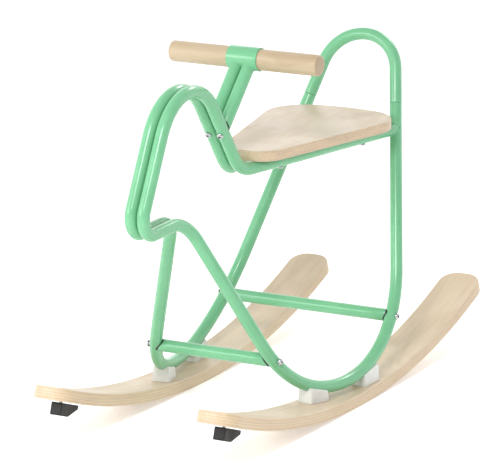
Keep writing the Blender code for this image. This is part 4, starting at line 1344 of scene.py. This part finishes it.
@dataclass(frozen=True)
class Runner:
    """Bent plywood runner with rounded ends, bored for its saddle bolts."""

    length: float = 0.8500
    width: float = 0.0670
    thick: float = 0.0188
    radius: float = 1.1700
    low_x: float = 0.0140
    corner: float = 0.0270
    spread: float = 0.1340
    edge: float = 0.0014
    head_room: float = 0.0057
    pocket_gap: float = 0.0003
    bolt_length: float = 0.0300
    points: int = 420
    shrink: tuple[float, ...] = (1.0, 0.96, 0.75, 0.5, 0.25, 0.0)

    def floor_z(self, x: float) -> float:
        """Height of the running face."""
        return self.radius - math.sqrt(self.radius ** 2 - (x - self.low_x) ** 2)

    def bent(self, flat: Array) -> Array:
        """Bend a flat board: x = low + (R - h) sin(s / R), z = R - (R - h) cos(s / R)."""
        angle, reach = flat[..., 0] / self.radius, self.radius - flat[..., 2]
        x, z = self.low_x + reach * np.sin(angle), self.radius - reach * np.cos(angle)
        return np.stack([x, flat[..., 1], z], axis=-1)

    def outline(self) -> Array:
        """Rounded rectangle along the running face, from its rear corner to its front one."""
        rear, front = (self.radius * math.asin((x - self.low_x) / self.radius)
                       for x in (-self.length / 2, self.length / 2))
        half = self.width / 2
        middle = [0.0, half, 0.0]
        corners = np.array([middle, [rear, half, 0], [rear, -half, 0], [front, -half, 0], [front, half, 0],
                            middle])
        return even_loop(fillet_path(corners, [self.corner] * 4)[:-1, :2], self.points)

    def build(self, tube: SideFrame, fixings: Fixings, palette: Palette) -> None:
        """Make both runners and the bolt heads in their undersides."""
        flat = board(self.outline(), self.thick, self.edge, self.edge, self.shrink)
        lower = tube.lower()
        foot = lower[lower[:, 2] < min(tube.bar_heights)]
        for side in Side:
            shell = open_grid(self.bent(flat) + LEFT * self.spread * side.value)
            piece = make_piece(f"runner_{side.word}", shell, palette.runner, merge=True)
            holes = []
            for x, word in zip(tube.saddle_x, ("front", "rear")):
                point, _ = where(foot, 0, x)
                floor = side.mirror(np.array([point[0], point[1], self.floor_z(point[0])]))
                holes.append(pocket(floor + UP * self.head_room, UP, fixings.bolt.head + self.pocket_gap))
                fixings.place(f"saddle_bolt_{word}_{side.word}", fixings.bolt,
                              floor + UP * (self.head_room - TUBE.gap), UP, self.bolt_length, palette.zinc,
                              "zinc_steel")
            drill(piece, holes)
            fit(piece, "rocker_ply", f"rocker_{side.word}")


@dataclass(frozen=True)
class TipStop:
    """Rubber block under a runner's front end, chamfered behind."""

    front_x: float = 0.3970
    length: float = 0.0500
    width: float = 0.0180
    height: float = 0.0190
    chamfer: tuple[float, float] = (0.026, 0.013)
    edge: float = 0.0011
    corner: float = 0.0013
    screw_in: float = 0.0120
    screw_sink: float = 0.0010
    screw_length: float = 0.0240
    screw_lift: float = 0.0001
    pocket_gap: float = 0.0004
    points: int = 160
    shrink: tuple[float, ...] = (1.0, 0.9, 0.5, 0.0)
    bend_limit: float = 0.2

    @property
    def level(self) -> float:
        """How far the middle of the rear face is below the top."""
        return (self.height - self.chamfer[1]) / 2

    def profile(self) -> Array:
        """Side view from its front end, a block whose lower rear corner is cut away, about its own middle.

        Height zero is at the middle of the rear face, so that the faces can be drawn together there.
        """
        cut_x, cut_z = self.chamfer
        middle = [self.length / 2, 0.0]
        corners = np.array([middle, [0, 0], [0, -self.height], [self.length - cut_x, -self.height],
                            [self.length, cut_z - self.height], [self.length, 0], middle])
        radii = [self.corner] * (len(corners) - 2)
        rounded = fillet_path(np.pad(corners, ((0, 0), (0, 1))), radii, math.radians(20))[:-1, :2]
        return even_loop(rounded, self.points) + np.array([-self.length / 2, self.level])

    def rim(self, profile: Array, rows: int) -> Array:
        """1 for points on the block's rounded edges, where the finish paints shade, and 0 on its flats.

        The rounded edges are the rows between a face and the plain wall in the middle, and the points at
        which the outline turns.

        Args:
            profile: The side view's outline.
            rows: Rows of points in the block.

        Returns:
            A value for each point, row by row.
        """
        row, faces = np.arange(rows), len(self.shrink)
        wall = (row == rows // 2 - 1) | (row == rows // 2)
        rounded = (row >= faces - 1) & (row <= rows - faces) & ~wall
        along = unit(np.roll(profile, -1, axis=0) - np.roll(profile, 1, axis=0))
        bend = np.linalg.norm(np.roll(along, -2, axis=0) - np.roll(along, 2, axis=0), axis=1)
        return (rounded[:, None] | (bend > self.bend_limit)[None]).astype(float).ravel()

    def build(self, runner: Runner, fixings: Fixings, palette: Palette) -> None:
        """Make both stops, square to the runner, and the screws in their feet.

        A stop's top stays below the runner's front by the gap, and by as much as the runner's bend leaves a
        straight line over the stop's length.
        """
        slope = math.asin((self.front_x - runner.low_x) / runner.radius)
        rise = np.array([-math.sin(slope), 0.0, math.cos(slope)])
        back = np.array([-math.cos(slope), 0.0, -math.sin(slope)])
        bow = self.length ** 2 / (2 * runner.radius)
        profile = self.profile()
        flat = board(profile, self.width, self.edge, self.edge, self.shrink)
        rim = self.rim(profile, len(flat))
        screw = fixings.screw
        for side in Side:
            under = np.array([self.front_x, runner.spread * side.value, runner.floor_z(self.front_x)])
            front = under - rise * (TUBE.gap + bow)
            middle = front + back * self.length / 2 - rise * self.level - LEFT * self.width / 2
            shell = open_grid(middle + flat @ np.stack([back, rise, LEFT]))
            # The rim field marks the rounded edges on which the rubber's finish paints shade.
            piece = make_piece(f"stop_{side.word}", shell, palette.rubber, merge=True, fields={"rim": rim})
            seat = front + back * self.screw_in - rise * (self.height - screw.height - self.screw_sink)
            drill(piece, [pocket(seat, rise, screw.head + self.pocket_gap)])
            fit(piece, "stop_rubber", f"tip_stop_{side.word}")
            fixings.place(f"stop_screw_{side.word}", screw, seat + rise * self.screw_lift, rise,
                          self.screw_length, palette.zinc, "zinc_steel")


class CarriedOver(Enum):
    """Kinds of CAD node that stay as they are: a part of their names, and the finish that they get."""

    SADDLE = ("saddle_", "white")
    SPACER = ("_spacer_", "black")
    INSERT = ("_insert_", "zinc")
    RIVET = ("rivet_nut_", "zinc")
    SEAT_NUT = ("seat_nut_", "zinc")

    @classmethod
    def dress(cls, palette: Palette) -> None:
        """Give each shown CAD node its finish."""
        for name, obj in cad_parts.items():
            if obj.hide_render:
                continue
            finish = next(kind.value[1] for kind in cls if kind.value[0] in name)
            obj.data.materials.clear()
            obj.data.materials.append(getattr(palette, finish))
            LOG.info("%s keeps its shape in %s", name, finish)


# ------------------------------------------------------------------ surroundings
@dataclass(frozen=True)
class Softbox:
    """A soft studio light aimed at a point."""

    name: str
    place: tuple[float, float, float]
    target: tuple[float, float, float]
    size: tuple[float, float]
    power: float

    def build(self) -> None:
        """Hang the light."""
        light = bpy.data.lights.new(self.name, "AREA")
        light.shape, light.size, light.size_y, light.energy = "RECTANGLE", *self.size, self.power
        obj = bpy.data.objects.new(self.name, light)
        obj.location = self.place
        obj.rotation_euler = (Vector(self.target) - Vector(self.place)).to_track_quat("-Z", "Y").to_euler()
        bpy.context.scene.collection.objects.link(obj)


@dataclass(frozen=True)
class Studio:
    """White floor, pale surroundings and soft lights, with the camera before the horse's left."""

    camera_place: tuple[float, float, float] = (5.1316, 2.6980, 1.6706)
    azimuth: float = math.radians(27.99)
    elevation: float = math.radians(13.85)
    lens: float = 285.98
    floor_half: float = 12.0
    floor_pale: Color = (0.93, 0.93, 0.93)
    floor_paler: Color = (0.95, 0.95, 0.95)
    floor_rough: float = 0.85
    floor_glow: float = 0.30
    front_glow: Color = (0.56, 0.56, 0.56)
    rear_glow: Color = (1.70, 1.70, 1.70)
    high_glow: Color = (0.62, 0.62, 0.62)
    rear_limits: tuple[float, float] = (-0.2, 0.8)
    high_limits: tuple[float, float] = (0.25, 0.95)
    lights: tuple[Softbox, ...] = (
        Softbox("key", (2.30, 0.50, 2.35), (0.0, 0.0, 0.30), (0.7, 0.7), 42.0),
        Softbox("fill", (2.40, -1.60, 1.30), (0.0, 0.0, 0.30), (1.7, 1.1), 34.0),
        Softbox("back", (-2.40, 0.20, 2.15), (0.0, 0.0, 0.20), (1.0, 0.5), 20.0),
    )

    def build(self) -> None:
        """Set up the floor, the surroundings, the lights and the camera."""
        self.floor()
        self.surroundings()
        for light in self.lights:
            light.build()
        self.camera()

    def floor(self) -> None:
        """A plain pale floor under the runners."""
        corners = np.array([[-1.0, -1.0, 0.0], [1.0, -1.0, 0.0], [1.0, 1.0, 0.0], [-1.0, 1.0, 0.0]])
        shell = Shell(corners * self.floor_half, [[0, 1, 2, 3]])
        material, sheet, shader, place = new_material("studio_floor")
        cloud = sheet.noise(sheet.spread("MULTIPLY", place, (3.0, 3.0, 3.0)), 2.0)
        tone = sheet.blend(cloud, opaque(self.floor_pale), opaque(self.floor_paler))
        sheet.feed(shader.inputs["Base Color"], tone)
        shader.inputs["Roughness"].default_value = self.floor_rough
        shader.inputs["Emission Color"].default_value = opaque((1.0, 1.0, 1.0))
        shader.inputs["Emission Strength"].default_value = self.floor_glow
        make_piece("floor", shell, material)

    def surroundings(self) -> None:
        """Soft glow all round, brightest low down behind the horse, dimmer in front and overhead.

        Directions are weighed by how far they point behind the horse, then by their height. The camera sees
        plain white instead.
        """
        world = bpy.data.worlds.new("studio")
        bpy.context.scene.world = world
        world.use_nodes = True
        sheet = NodeSheet(world.node_tree)
        back = world.node_tree.nodes["Background"]
        way = sheet.add("TexCoord").outputs["Generated"]
        _, _, height = sheet.parts(way)
        behind = (-math.cos(self.azimuth), -math.sin(self.azimuth), 0.0)
        depth = sheet.add("VectorMath", {0: way, 1: behind}, operation="DOT_PRODUCT").outputs["Value"]
        level = sheet.blend(sheet.span(depth, *self.rear_limits), opaque(self.front_glow),
                            opaque(self.rear_glow))
        tone = sheet.blend(sheet.span(height, *self.high_limits), level, opaque(self.high_glow))
        sheet.feed(back.inputs["Color"], tone)
        back.inputs["Strength"].default_value = 1.0
        plain = sheet.add("Background", {"Color": opaque((1.0, 1.0, 1.0)), "Strength": 1.0})
        seen = sheet.add("LightPath").outputs["Is Camera Ray"]
        both = sheet.add("MixShader", {0: seen, 1: back.outputs["Background"],
                                       2: plain.outputs["Background"]})
        sheet.feed(world.node_tree.nodes["World Output"].inputs["Surface"], both.outputs["Shader"])

    def camera(self) -> None:
        """A long lens that looks down on the horse from its front left."""
        data = bpy.data.cameras.new("camera")
        data.lens, data.sensor_width, data.sensor_fit = self.lens, 36.0, "HORIZONTAL"
        data.clip_end = 100.0
        obj = bpy.data.objects.new("camera", data)
        obj.location = self.camera_place
        level = math.cos(self.elevation)
        ahead = Vector((-math.cos(self.azimuth) * level, -math.sin(self.azimuth) * level,
                        -math.sin(self.elevation)))
        obj.rotation_euler = ahead.to_track_quat("-Z", "Y").to_euler()
        bpy.context.scene.collection.objects.link(obj)
        bpy.context.scene.camera = obj
        bpy.context.scene.view_settings.view_transform = "Standard"


def main() -> None:
    """Build the horse and its surroundings."""
    logging.basicConfig(level=logging.INFO, format="%(name)s: %(message)s")
    tube, runner, seat, fixings = SideFrame(), Runner(), Seat(), Fixings()
    palette = Palette(seat, runner)
    for side in Side:
        tube.build(side, palette.paint)
    Hoop().build(tube, palette.paint)
    Crossbars().build(tube, palette)
    Handle().build(tube, fixings, palette)
    seat.build(palette)
    runner.build(tube, fixings, palette)
    TipStop().build(runner, fixings, palette)
    fixings.build(tube, palette)
    CarriedOver.dress(palette)
    Studio().build()


if __name__ == "__main__":
    main()
